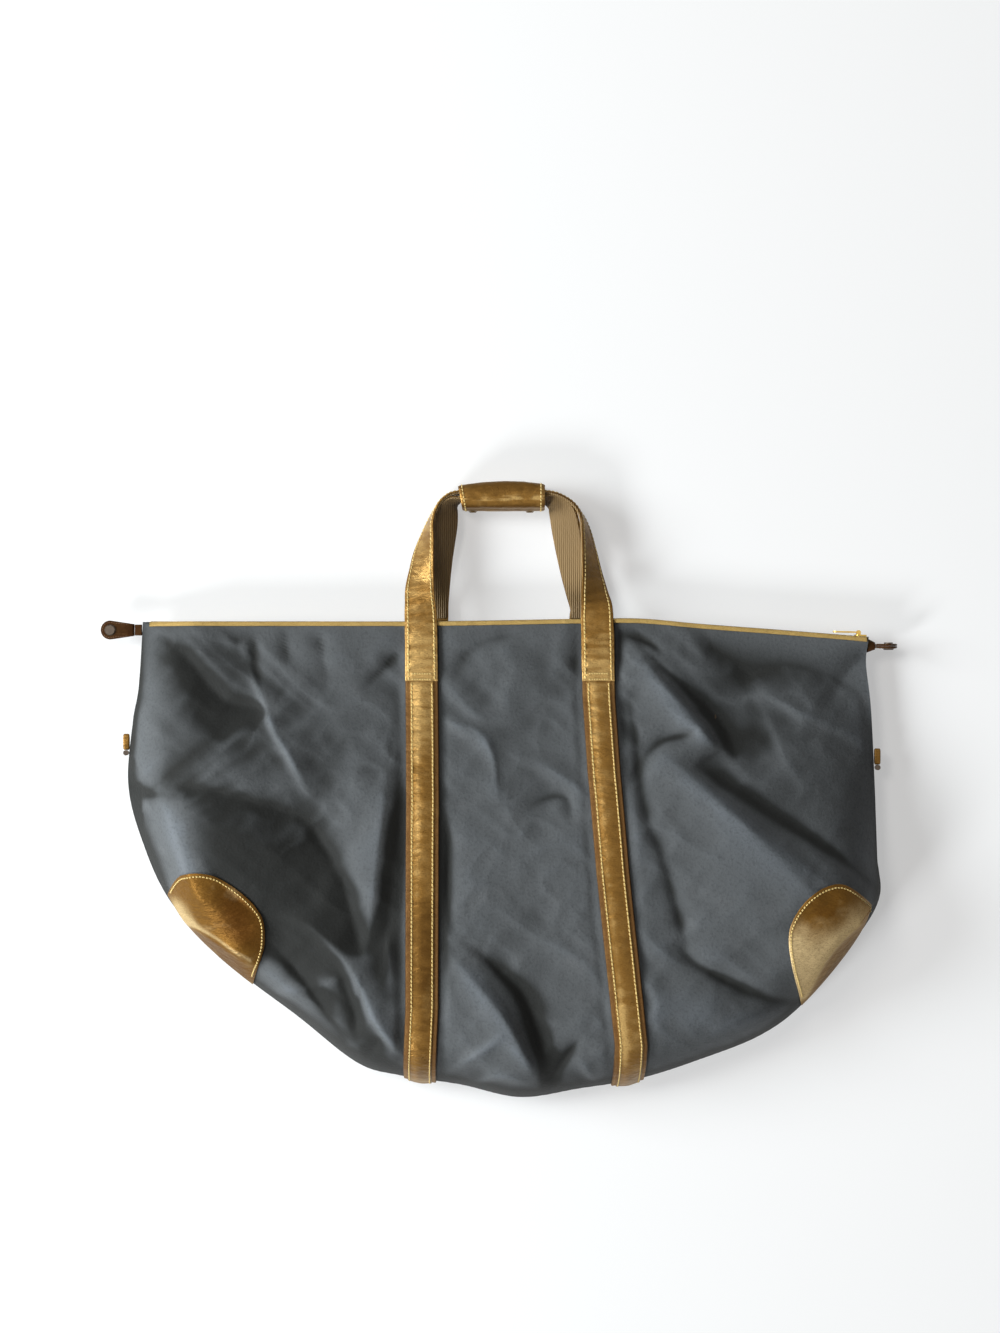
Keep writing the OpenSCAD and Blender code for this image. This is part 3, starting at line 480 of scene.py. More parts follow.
def read_map(height_map, x, y):
    """Value of a height map between its grid points."""
    u = np.clip((x - grid_x[0]) / GRID_STEP, 0, len(grid_x) - 1.001)
    v = np.clip((y - grid_y[0]) / GRID_STEP, 0, len(grid_y) - 1.001)
    i, j = np.floor(u).astype(int), np.floor(v).astype(int)
    a, b = u - i, v - j
    return ((height_map[j, i] * (1 - a) + height_map[j, i + 1] * a) * (1 - b)
            + (height_map[j + 1, i] * (1 - a) + height_map[j + 1, i + 1] * a) * b)


def front_z(x, y):
    return smooth_front(x, y) + read_map(front_map, x, y)


def back_z(x, y):
    return smooth_back(x, y) + read_map(back_map, x, y)


def on_panel(xy, front, off=0.0):
    """Points on the outer face of the front or back panel, raised off it along its normal."""
    x, y = xy[..., 0], xy[..., 1]
    level = front_z if front else back_z
    slope_x = (level(x + 2, y) - level(x - 2, y)) / 4
    slope_y = (level(x, y + 2) - level(x, y - 2)) / 4
    normal = np.stack([-slope_x, -slope_y, np.ones_like(x)], -1)
    normal /= np.linalg.norm(normal, axis=-1, keepdims=True)
    if not front:
        normal = -normal
    return np.stack([x, y, level(x, y)], -1) + off * normal


# ---- Meshes ----

def grid_faces(rows, columns, closed, start=0, turned=False):
    """Four-sided faces between the neighbours of a grid of points."""
    i, j = np.meshgrid(np.arange(rows - 1), np.arange(columns if closed else columns - 1),
                       indexing="ij")
    k = (j + 1) % columns
    quads = np.stack([i * columns + j, i * columns + k, (i + 1) * columns + k,
                      (i + 1) * columns + j], -1).reshape(-1, 4) + start
    return quads[:, ::-1] if turned else quads


def closed_sheet(top, bottom):
    """A thin solid between two matched grids of points."""
    rows, columns = top.shape[:2]
    low = rows * columns
    index = np.arange(low).reshape(rows, columns)
    edge = np.concatenate([index[0, :-1], index[:-1, -1], index[-1, :0:-1], index[:0:-1, 0]])
    after = np.roll(edge, -1)
    faces = np.vstack([grid_faces(rows, columns, False),
                       grid_faces(rows, columns, False, low, True),
                       np.stack([edge, edge + low, after + low, after], -1)])
    return np.concatenate([top.reshape(-1, 3), bottom.reshape(-1, 3)]), faces


def closed_rings(rings):
    """A solid from a run of closed loops of points, with a middle point at either end."""
    rows, columns = rings.shape[:2]
    first = rows * columns
    faces = [tuple(f) for f in grid_faces(rows, columns, True)]
    for middle, row, turned in ((first, 0, True), (first + 1, rows - 1, False)):
        loop = np.arange(columns) + row * columns
        for a, b in zip(loop, np.roll(loop, -1)):
            faces.append((middle, b, a) if turned else (middle, a, b))
    return np.vstack([rings.reshape(-1, 3), rings[[0, -1]].mean(1)]), faces


def join_solids(solids):
    points, faces, start = [], [], 0
    for p, f in solids:
        points.append(p)
        faces.extend([tuple(int(i) + start for i in face) for face in f])
        start += len(p)
    return np.vstack(points), faces


def piece(name, solid, finish, body="bag", nodes=(), across=None, crisp=40,
          tone=0.5):
    """A mesh of the bag in its finish, riding on its body unless across is given, standing for
    its CAD nodes.

    tone is how pale the material is, from wear and from painted light and shade, per mesh or
    point."""
    points, faces = solid
    mesh = bpy.data.meshes.new(name)
    mesh.from_pydata((np.asarray(points) * MM).tolist(), [],
                     [tuple(int(i) for i in f) for f in faces])
    shell = bmesh.new()
    shell.from_mesh(mesh)
    bmesh.ops.recalc_face_normals(shell, faces=shell.faces)
    shell.to_mesh(mesh)
    shell.free()
    mesh.shade_smooth()
    mesh.set_sharp_from_angle(angle=math.radians(crisp))
    mesh.materials.append(finish)
    tones = mesh.attributes.new("tone", "FLOAT", "POINT")
    tones.data.foreach_set("value", np.full(len(points), np.ravel(tone), float))
    made = bpy.data.objects.new(name, mesh)
    bpy.context.scene.collection.objects.link(made)
    if across:
        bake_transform(made)
    else:
        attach(made, body)
    if nodes:
        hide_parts(*nodes)
    return made


# ---- Materials ----

class Wire:
    """An output of a shader node; arithmetic on it adds Math nodes."""

    def __init__(self, nodes, socket):
        self.nodes, self.socket = nodes, socket

    def math(self, operation, a, b):
        return self.nodes.node("ShaderNodeMath", {"operation": operation}, {0: a, 1: b})

    def __add__(self, other):
        return self.math("ADD", self, other)

    def __sub__(self, other):
        return self.math("SUBTRACT", self, other)

    def __rsub__(self, other):
        return self.math("SUBTRACT", other, self)

    def __mul__(self, other):
        return self.math("MULTIPLY", self, other)

    __radd__ = __add__
    __rmul__ = __mul__


class Nodes:
    """The node tree of a material or a world."""

    def __init__(self, owner):
        owner.use_nodes = True
        self.tree = owner.node_tree

    def node(self, kind, settings=None, inputs=None, output=0):
        """A node with its settings and a value or a Wire for each of its sockets."""
        made = self.tree.nodes.new(kind)
        for key, value in (settings or {}).items():
            setattr(made, key, value)
        for key, value in (inputs or {}).items():
            if isinstance(value, Wire):
                self.tree.links.new(value.socket, made.inputs[key])
            else:
                made.inputs[key].default_value = value
        return Wire(self, made.outputs[output]) if made.outputs else None


class Finish(Nodes):
    """A material built from a Principled shader."""

    def __init__(self, name, **constants):
        self.material = bpy.data.materials.new(name)
        super().__init__(self.material)
        self.shader = self.tree.nodes["Principled BSDF"]
        for key, value in constants.items():
            self.shader.inputs[key.replace("_", " ")].default_value = value
        self.place = self.node("ShaderNodeTexCoord", output="Object")

    def stretched(self, scale):
        return self.node("ShaderNodeMapping", {}, {"Vector": self.place, "Scale": scale})

    def noise(self, scale, detail=3.0, stretch=None):
        place = self.stretched(stretch) if stretch else self.place
        return self.node("ShaderNodeTexNoise", {}, {"Vector": place, "Scale": scale,
                                                    "Detail": detail}, "Fac")

    def bands(self, scale, direction):
        """Fine, slightly wandering ribs or threads."""
        return self.node("ShaderNodeTexWave", {"bands_direction": direction},
                         {"Vector": self.place, "Scale": scale, "Distortion": 0.6,
                          "Detail": 1.0, "Detail Scale": 2.0}, "Fac")

    def tone(self):
        """The wear and the painted light and shade that each point of a mesh carries."""
        return self.node("ShaderNodeAttribute", {"attribute_name": "tone"}, output="Fac")

    def mix(self, a, b, share):
        inputs = {0: share, 6: a if isinstance(a, Wire) else (*a, 1),
                  7: b if isinstance(b, Wire) else (*b, 1)}
        return self.node("ShaderNodeMix", {"data_type": "RGBA"}, inputs, 2)

    def share(self, wire, low, high):
        """A share from 0 to 1 as a value goes from low to high."""
        return self.node("ShaderNodeMapRange", {"interpolation_type": "SMOOTHSTEP"},
                         {"Value": wire, "From Min": low, "From Max": high}, "Result")

    def bump(self, height, distance, strength, below=None):
        inputs = {"Height": height, "Distance": distance, "Strength": strength}
        if below:
            inputs["Normal"] = below
        return self.node("ShaderNodeBump", {}, inputs, "Normal")

    def set(self, **wires):
        """Feeds the shader's sockets and gives the material."""
        for key, wire in wires.items():
            self.tree.links.new(wire.socket, self.shader.inputs[key.replace("_", " ")])
        return self.material


def make_canvas():
    """Dark slate coated canvas: a tight plain weave, faint grain and a soft sheen."""
    f = Finish("coated_canvas", Roughness=0.62, Specular_IOR_Level=0.12, Sheen_Weight=0.03,
               Sheen_Roughness=0.45)
    cloud, mottle, grain = f.noise(5.0, 4.0), f.noise(38.0, 5.0), f.noise(340.0, 3.0)
    weave = f.bands(330.0, "X") * f.bands(300.0, "Y")
    tone = f.tone()
    # The tone's near-black end is painted shade and its pale bluish end painted light.
    base = f.mix((0.014, 0.014, 0.012), (0.098, 0.104, 0.108), f.share(tone, 0.0, 0.55))
    base = f.mix(base, (0.130, 0.142, 0.155), f.share(tone, 0.5, 1.0))
    # lit is where the tone carries no painted shade; the cloud and mottle show only there.
    lit = f.share(tone, 0.05, 0.6)
    base = f.mix(base, (0.072, 0.076, 0.078), f.share(cloud, 0.45, 0.7) * 0.3 * lit)
    base = f.mix(base, (0.145, 0.150, 0.155), f.share(mottle, 0.5, 0.8) * 0.4 * lit)
    base = f.mix(base, (0.022, 0.024, 0.025), f.share(grain, 0.45, 0.8) * 0.3)
    base = f.mix(base, (0.030, 0.033, 0.036), (1 - weave) * 0.22)
    soft = f.bump(mottle, 0.0012, 0.6)
    rough = f.bump(grain, 0.0006, 0.6, soft)
    return f.set(Base_Color=base, Roughness=0.58 + 0.12 * mottle,
                 Normal=f.bump(weave, 0.00022, 0.55, rough))


def make_lining():
    """Dark brown woven lining inside the bag."""
    f = Finish("woven_lining", Roughness=0.8, Specular_IOR_Level=0.2)
    weave = f.bands(260.0, "X") * f.bands(260.0, "Y")
    base = f.mix((0.070, 0.048, 0.030), (0.105, 0.075, 0.048), f.noise(9.0))
    return f.set(Base_Color=f.mix(base, (0.03, 0.02, 0.012), (1 - weave) * 0.4),
                 Normal=f.bump(weave, 0.0003, 0.6))


def leather(name, dark, mid, light, roughness, grain, shine, stretch=(1.0, 2.2, 1.0),
            gilt=0.0):
    """Glossy goatskin: pebbles, short creases, darker pores, wear and painted light and shade.
    """
    f = Finish(name, Specular_IOR_Level=shine, Specular_Tint=(1.0, 0.72, 0.28, 1),
               Metallic=gilt)
    pebbles = f.node("ShaderNodeTexVoronoi", {"feature": "SMOOTH_F1"},
                     {"Vector": f.stretched(stretch), "Scale": grain, "Smoothness": 0.6},
                     "Distance")
    creases, cloud, patchy = f.noise(70.0, 4.0, stretch), f.noise(11.0, 4.0), f.noise(34.0, 5.0)
    tone = f.tone()
    base = f.mix(dark, mid, f.share(tone, 0.0, 0.5))
    base = f.mix(base, light, f.share(tone, 0.5, 1.0))
    base = f.mix(base, dark, f.share(cloud, 0.5, 0.75) * 0.4)
    base = f.mix(base, light, f.share(patchy, 0.52, 0.78) * 0.4)
    base = f.mix(base, dark, f.share(pebbles, 0.45, 0.8) * 0.4)
    wrinkled = f.bump(creases, 0.0026, 0.7)
    return f.set(Base_Color=base, Roughness=roughness + 0.14 * patchy - 0.05 * pebbles,
                 Normal=f.bump(1 - pebbles, 0.0002, 0.4, wrinkled))


def ribbed(name, roughness, shine, scale, direction, cloud, dark, light, rib, depth):
    """Ribbed brown cloth: the handles' lining and the zip's tape."""
    f = Finish(name, Roughness=roughness, Specular_IOR_Level=shine)
    ribs = f.bands(scale, direction)
    base = f.mix(dark, light, f.noise(cloud))
    return f.set(Base_Color=f.mix(base, rib, ribs * 0.5), Normal=f.bump(ribs, depth, 0.7))


def sewing_thread(name, dark, light, twist, **constants):
    f = Finish(name, **constants)
    return f.set(Base_Color=f.mix(dark, light, f.noise(twist, 1.0)))


def make_brass():
    """Polished brass, lightly scratched and dulled."""
    f = Finish("polished_brass", Metallic=1.0)
    scratches, dull = f.noise(420.0, 4.0, (1.0, 6.0, 1.0)), f.noise(60.0, 4.0)
    return f.set(Base_Color=f.mix((0.66, 0.43, 0.11), (0.36, 0.22, 0.06),
                                  f.share(dull, 0.4, 0.75)),
                 Roughness=0.2 + 0.22 * dull + 0.1 * scratches,
                 Normal=f.bump(scratches, 0.0001, 0.4))


def dull_metal(name, metallic, scale, dark, light, low, spread):
    """The dark press studs and the antique brass of the wrap's snaps."""
    f = Finish(name, Metallic=metallic)
    dull = f.noise(scale, 4.0)
    return f.set(Base_Color=f.mix(dark, light, dull), Roughness=low + spread * dull)


canvas = make_canvas()
lining = make_lining()
tan = leather("golden_brown_goatskin", (0.080, 0.034, 0.006), (0.195, 0.096, 0.021),
              (0.43, 0.27, 0.095), 0.26, 620.0, 0.4, gilt=0.3)
corner_tan = leather("corner_goatskin", (0.070, 0.026, 0.004), (0.140, 0.066, 0.012),
                     (0.50, 0.37, 0.19), 0.38, 560.0, 0.2, (1.2, 3.0, 1.0), gilt=0.4)
edge_brown = leather("burnished_backing", (0.045, 0.018, 0.008), (0.16, 0.078, 0.026),
                     (0.27, 0.160, 0.055), 0.4, 700.0, 0.3, gilt=0.3)
red_brown = leather("reddish_tab_leather", (0.012, 0.004, 0.002), (0.038, 0.013, 0.005),
                    (0.08, 0.032, 0.013), 0.34, 600.0, 0.2)
piping = leather("golden_piping", (0.20, 0.12, 0.035), (0.42, 0.28, 0.095),
                 (0.60, 0.43, 0.17), 0.34, 800.0, 0.3)
rib_lining = ribbed("ribbed_lining", 0.6, 0.3, 150.0, "X", 16.0, (0.115, 0.064, 0.020),
                    (0.20, 0.122, 0.044), (0.30, 0.21, 0.10), 0.0007)
tape_weave = ribbed("zip_tape_weave", 0.75, 0.25, 300.0, "DIAGONAL", 40.0,
                    (0.075, 0.050, 0.030), (0.115, 0.080, 0.050), (0.03, 0.02, 0.013), 0.0003)
thread = sewing_thread("golden_thread", (0.52, 0.36, 0.115), (0.74, 0.56, 0.235), 900.0,
                       Roughness=0.5, Specular_IOR_Level=0.4)
dark_thread = sewing_thread("brown_thread", (0.09, 0.04, 0.02), (0.16, 0.08, 0.04), 700.0,
                            Roughness=0.55)
brass = make_brass()
dark_stud = dull_metal("blackened_stud", 0.9, 220.0, (0.045, 0.036, 0.030),
                       (0.13, 0.10, 0.075), 0.3, 0.25)
old_brass = dull_metal("antique_brass", 1.0, 120.0, (0.11, 0.070, 0.028),
                       (0.22, 0.145, 0.060), 0.35, 0.2)


# ---- Canvas body and its lining ----

def panel_rings(shares, front, off):
    """Loops over a panel, each at a share of the way from its middle to the rim."""
    return on_panel(MIDDLE + shares[:, None, None] * (rim - MIDDLE), front, off)


def seam_level(xy, front):
    """The level where a panel ends, close to the other at the seam and apart at the mouth."""
    reach = 0.15 + HALF_MOUTH * parting(*xy.T)
    return SEAM_Z + (reach if front else -reach)


def canvas_piece(front):
    """A panel of canvas: its outer face, its edge at the seam and its inner face."""
    outer = 1 - (1 - np.linspace(0.02, 1, 150)) ** 1.2
    inner = 1 - (1 - np.linspace(0.02, 0.93, 60)) ** 1.2
    inset = rim - 4.0 * (rim - MIDDLE) / rim_reach[:, None]
    if front:
        level = np.maximum(front_z(*inset.T) - CANVAS_T, seam_level(inset, front))
    else:
        level = np.minimum(back_z(*inset.T) + CANVAS_T, seam_level(inset, front))
    solid = closed_rings(np.concatenate([
        panel_rings(outer, front, 0.0),
        np.column_stack([rim, seam_level(rim, front)])[None],
        np.column_stack([inset, level])[None],
        panel_rings(inner[::-1], front, -CANVAS_T)]))
    # The canvas's tone is its painted light and shade.
    painted_tone = read_map(front_painted_light if front else back_painted_light, *solid[0].T[:2])
    where = side_name(front)
    piece(f"canvas_{where}", solid, canvas, nodes=[f"{where}_panel"],
          crisp=65, tone=painted_tone)


def lining_piece(front):
    shares = np.linspace(0.05, 0.90, 34)
    off = -CANVAS_T - LINING_GAP
    solid = closed_rings(np.concatenate([panel_rings(shares, front, off),
                                         panel_rings(shares[::-1], front, off - LINING_T)]))
    where = side_name(front)
    piece(f"lining_{where}", solid, lining, nodes=[f"{where}_lining"])


for make_piece in (canvas_piece, lining_piece):
    for front in (True, False):
        make_piece(front)


# ---- Straps, laps and their stitching ----

# Where the backing ends below the mouth, and where the rows of a strap begin to close up
# towards the bottom fold.
BACKING_TOP_Y = 164.0
LOW_Y = -128.0


def section(half, thick, seam=None, dome=0.0, lip=0.0):
    """Across a strip of leather: places from edge to edge and the height of its face."""
    top = thick + lip
    places = [half * share for share in (1.0, 0.985, 0.955, 0.92)]
    heights = [0.35 * thick, 0.72 * thick, 0.93 * thick, thick]
    if lip:
        places += [seam + 1.5, seam + 0.9]
        heights += [thick, top]
    if seam:
        places += [seam + 0.55, seam, seam - 0.55, seam - 1.3]
        heights += [top - 0.12, top - 0.35, top - 0.1, top]
    inside = (seam - 1.3) if seam else 0.92 * half
    for share in (0.8, 0.55, 0.28, 0.0):
        places.append(inside * share)
        heights.append(top + dome * (1 - share ** 2))
    return np.array([-p for p in places] + places[-2::-1]), np.array(heights + heights[-2::-1])


def rows_on(line, y, columns, front):
    """Rows of points across a strap's line on the front or back panel."""
    return on_panel(pair_up(line_x(line, y) + columns, y), front)


def strip_rows(line, back_line, top_y, columns):
    """A strap's path down the front, round the bottom fold and up the back."""

    def to_fold(steps, chosen, front):
        share = 1 - (1 - np.linspace(0, 1, steps)[:, None]) ** 1.3
        foot = bottom_y(line_x(chosen, -305.0) + columns)
        return rows_on(chosen, LOW_Y + (foot - LOW_Y) * share, columns, front)

    bottom = to_fold(64, line, True)
    return np.concatenate([
        rows_on(line, np.arange(top_y, LOW_Y, -1.5)[:, None], columns, True),
        bottom, bottom[-1:] * (1, 1, 0) + (0, 0, SEAM_Z),
        to_fold(40, back_line, False)[::-1],
        rows_on(back_line, np.arange(LOW_Y, top_y, 5.0)[:, None], columns, False)])


def grid_normals(grid):
    """Normals of a grid of points, evened out a little along its rows."""
    normal = np.cross(np.gradient(grid, axis=1), np.gradient(grid, axis=0))
    normal /= np.linalg.norm(normal, axis=-1, keepdims=True) + 1e-12
    for _ in range(2):
        normal[1:-1] = (normal[:-2] + 2 * normal[1:-1] + normal[2:]) / 4
    return normal / np.linalg.norm(normal, axis=-1, keepdims=True)


def rounded_ends(rows, second):
    """Shares of full thickness along a strip whose first and last two rows are thinned."""
    shares = np.ones((rows, 1))
    shares[[0, -1]], shares[[1, -2]] = 0.45, second
    return shares


def raise_strip(base, heights, under):
    """Top and bottom faces of a strip laid on a base grid, with its ends rounded over."""
    normal = grid_normals(base)
    if normal[2, base.shape[1] // 2, 2] < 0:
        normal = -normal
    lift = under + heights * rounded_ends(len(base), 0.85)
    return base + normal * lift[..., None], base + normal * under, normal


def stitches(path, normal, length=4.0, pitch=4.3, radius=0.85, lift=0.2, lean=0.0):
    """Short thread loops along a sewn line."""
    run = path_run(path)
    count = max(1, int((run[-1] - 1.0) / pitch))
    starts = 0.5 + (run[-1] - 1.0 - count * pitch) / 2 + np.arange(count) * pitch
    a, b = at_runs(starts, run, path), at_runs(starts + length, run, path)
    n = at_runs(starts + length / 2, run, normal)
    n /= np.linalg.norm(n, axis=-1, keepdims=True)
    t = b - a
    size = np.linalg.norm(t, axis=-1, keepdims=True)
    t /= size
    side = np.cross(n, t)
    spokes = [math.cos(k * math.pi / 3) * side + math.sin(k * math.pi / 3) * n
              for k in range(6)]
    rings = []
    for u, r, h in ((0.0, 0.35, -0.25), (0.14, 0.85, 0.02), (0.5, 1.0, 0.16),
                    (0.86, 0.85, 0.02), (1.0, 0.35, -0.25)):
        middle = a + t * size * u + n * (lift + h) + side * lean * (u - 0.5)
        rings.append(np.stack([middle + r * radius * spoke for spoke in spokes], 1))
    loop = grid_faces(5, 6, True).tolist() + [range(5, -1, -1), range(24, 30)]
    faces = [[k + 30 * i for k in face] for i in range(count) for face in loop]
    return np.stack(rings, 1).reshape(-1, 3), faces


def edge_stitches(grid, normal, columns, seam):
    """Thread along both edges of a strip, at the columns nearest to its seams."""
    nearest = [int(np.argmin(np.abs(columns - place))) for place in (-seam, seam)]
    return [stitches(grid[:, k], normal[:, k], lean=0.3) for k in nearest]


def painted_light_along(y, marks):
    """Painted light and shade along a strap or a handle, from listed places."""
    return np.interp(y, *np.array(sorted(marks)).T)


def cross_creases(y, columns, creases):
    """Shallow creases across a strip: each has a place, a depth, a width and a slant."""
    return sum(depth * np.exp(-((y - at - slant * columns) / width) ** 2)
               for at, depth, width, slant in creases)


# Creases along the straps' faces, and their painted light and shade, at listed y.
LEFT_CREASES = [(24, -0.5, 1.6, 0.08), (19, -0.35, 1.3, -0.05), (-30, -0.2, 1.5, 0.1),
                (-66, -0.2, 1.5, -0.1), (-113, -0.5, 1.6, 0.1), (-118, 0.3, 2.0, 0.1),
                (60, -0.2, 1.5, 0.12), (85, -0.25, 1.8, -0.1)]
RIGHT_CREASES = [(-88 - 4.6 * k, -0.4, 1.2, 0.05 * (-1) ** k) for k in range(9)]
RIGHT_CREASES += [(60, -0.25, 1.8, 0.1), (8, -0.3, 1.8, -0.1), (-40, -0.2, 1.6, 0.1),
                  (-165, -0.35, 1.4, 0.1), (-185, -0.25, 1.6, -0.06), (-212, -0.3, 1.5, 0.1)]
LEFT_PAINTED_LIGHT = [(112, 0.85), (70, 0.8), (35, 0.62), (15, 0.5), (-20, 0.6), (-60, 0.52),
               (-105, 0.42), (-118, 0.12), (-200, 0.1), (-255, 0.32), (-285, 0.22), (-305, 0.05)]
RIGHT_PAINTED_LIGHT = [(112, 0.62), (70, 0.56), (20, 0.44), (-60, 0.40), (-110, 0.5), (-150, 0.42),
                (-190, 0.45), (-225, 0.6), (-262, 0.65), (-285, 0.35), (-305, 0.05)]


def strap(side, line, back_line, creases, marks, glossy):
    """A strap's wide backing, its narrower face and the thread along both edges."""
    cols, heights = section(STRAP_W / 2, 1.6)
    base = strip_rows(line, back_line, BACKING_TOP_Y, cols)
    top, bottom, _ = raise_strip(base, heights, BACKING_UNDER)
    burnish = np.where(np.abs(cols) > STRAP_W / 2 - 0.8, 0.15, 0.5)
    piece(f"strap_backing_{side}", closed_sheet(top, bottom), edge_brown,
          nodes=[f"{side}_strap_backing"],
          tone=np.tile(burnish, 2 * len(top)))
    cols, heights = section(FACE_W / 2, 1.2, FACE_SEAM, dome=1.15)
    base = strip_rows(line, back_line, TACK_Y, cols)
    front_side = base[:, :1, 2] >= SEAM_Z - 0.01
    y = base[:, 12:13, 1]
    crease = cross_creases(y, cols, creases) * (np.abs(cols) < 10.0) * front_side
    face = heights * np.where(front_side, 1.0, 0.78) + crease
    top, bottom, normal = raise_strip(base, face, FACE_UNDER)
    # A painted highlight left of the middle, dark edges, rubbed spots and a painted glossy
    # streak low down.
    across = 0.22 * np.exp(-((cols + 5.0) / 3.2) ** 2) - 0.3 * (np.abs(cols) > 11.3)
    rubbed = soft_noise(cols / 3 + 40 * (side == "left"), y, 3.0, 41)
    sheen = glossy * np.exp(-((cols + 7.5) / 2.4) ** 2 - ((y + 242) / 26) ** 2)
    # The tone also paints light and shade along the strap, and shade in its creases' dips.
    tone = painted_light_along(y, marks) + across + 0.35 * crease + 0.14 * rubbed + sheen
    tone = np.clip(np.where(front_side, tone, 0.4), 0, 1)
    piece(f"strap_face_{side}", closed_sheet(top, bottom), tan,
          nodes=[f"{side}_strap_face"], tone=[tone, tone])
    piece(f"strap_stitches_{side}", join_solids(edge_stitches(top, normal, cols, FACE_SEAM)),
          thread)


strap("left", LEFT_LINE, LEFT_BACK_LINE, LEFT_CREASES, LEFT_PAINTED_LIGHT, 0.2)
strap("right", RIGHT_LINE, RIGHT_BACK_LINE, RIGHT_CREASES, RIGHT_PAINTED_LIGHT, 0.6)


# ---- Corner patches ----

# Outlines of the patches. The first and the sixth point are sharp, because there the inner
# edge meets the bag's rim.
LEFT_PATCH = [(-345, -109), (-323, -84), (-286, -86), (-246, -118), (-239, -156),
              (-256, -205), (-291, -176), (-320, -147)]
RIGHT_PATCH = [(316, -227), (299, -177), (297, -137), (319, -104), (352, -94),
               (386, -118), (376, -153), (350, -190)]
PATCH_SHARP = (0, 5)

# Painted light, shade and ridge highlights on the patches, as lines with an amount at each
# point.
PATCH_PAINTED_LIGHT = [
    (14, 16, [(176, 890, 0.1), (182, 905, 0.55), (190, 918, 0.5)]),
    (5, 4, [(193, 918, 0.6), (222, 932, 0.55), (240, 944, 0.6), (256, 953, 0.5)]),
    (22, 22, [(215, 880, 0.0), (240, 900, -0.4), (250, 925, -0.4)]),
    (10, 10, [(200, 930, -0.5), (222, 948, -0.6), (240, 968, -0.5), (250, 982, -0.3)]),
    (7, 22, [(850, 918, 0.5), (828, 937, 0.6), (811, 960, 0.65), (801, 990, 0.6)]),
    (18, 22, [(792, 925, 0.3), (785, 950, 0.6), (790, 985, 0.55)]),
    (16, 8, [(868, 930, -0.7), (850, 950, -0.95), (828, 977, -0.9), (814, 1002, -0.7)]),
    (14, 14, [(812, 905, -0.3), (828, 908, -0.3), (842, 908, 0)]),
]


def corner_patch(side, front, corners):
    """A leather patch over a bottom corner, with thread along its inner edges."""
    under = 0.8
    edge = smooth_loop(corners, 18, PATCH_SHARP)
    middle = (edge.min(0) + edge.max(0)) / 2
    reach = 0.985 * (edge - middle)
    shares = np.append(np.linspace(0.04, 0.94, 30), [0.965, 0.985, 1.0])
    heights = np.append(np.full(30, 1.6), [1.5, 1.25, 0.7])
    flat_rings = middle + shares[:, None, None] * reach
    tops = on_panel(flat_rings, front, under + heights[:, None, None])
    lows = on_panel(flat_rings[::3][::-1], front, under)
    solid = closed_rings(np.concatenate([tops, lows]))
    # The front patches carry painted light and shade; the back ones a plain tone.
    tone = 0.5
    if front:
        x, y = solid[0].T[:2]
        tone = np.clip(0.42 + folds_at(x, y, PATCH_PAINTED_LIGHT, SOFT_CREST), 0, 1)
    where = side_name(front)
    piece(f"corner_{where}_{side}", solid, corner_tan,
          nodes=[f"{where}_{side}_corner"], crisp=60, tone=tone)
    # The thread follows the edge only where the patch lies inside the rim.
    keep = out_t(*edge.T) < 0.975
    start = int(np.argmax(keep & ~np.roll(keep, 1)))
    line = np.roll(middle + 0.945 * reach, -start, 0)[np.roll(keep, -start)]
    top = on_panel(line, front, 2.4)
    normal = on_panel(line, front, 3.4) - top
    piece(f"corner_stitches_{where}_{side}", stitches(top, normal, pitch=3.6, length=2.7),
          thread)


for front in (True, False):
    corner_patch("left", front, LEFT_PATCH)
    corner_patch("right", front, RIGHT_PATCH)


# ---- Bindings along the mouth and the zip between them ----

def mouth_binding(front):
    """A ribbed golden roll sewn over the edge of the mouth."""
    x = np.arange(-365.5, 386.0, 1.05)
    rib = 0.5 + 0.5 * np.cos(np.pi * np.arange(len(x)))
    depth = np.array([0.2, 0.5, 1.2, 2.5, 3.8, 4.6, 5.0])
    lift = np.array([0.5, 1.1, 1.5, 1.6, 1.5, 1.1, 0.4])
    xy = pair_up(x[:, None], mouth_y(x)[:, None] - depth)
    base = on_panel(xy, front, 0.6)
    normal = on_panel(xy, front, 1.6) - base
    top = base + normal * (lift * (0.8 + 0.3 * rib[:, None]))[..., None]
    where = side_name(front)
    piece(f"mouth_binding_{where}", closed_sheet(top, base), piping,
          nodes=[f"{where}_binding"], crisp=80)


for front in (True, False):
    mouth_binding(front)

# The right end of the zip, its length, its slant, how far its tapes run on past the stop, and
# how far from the zip's middle a tape begins and ends.
ZIP_RIGHT = np.array([385.0, 157.4])
ZIP_L = 697.0
TILT = math.radians(-1.07)
TAPE_PAST = 59.5
TAPE_FROM, TAPE_TO = 4.6, 10.4


def at_zip(x, y, z):
    """Points given along, across and above the middle of the zip."""
    c, s = math.cos(TILT), math.sin(TILT)
    return pair_up(ZIP_RIGHT[0] + c * x - s * y, ZIP_RIGHT[1] + s * x + c * y, SEAM_Z + z)


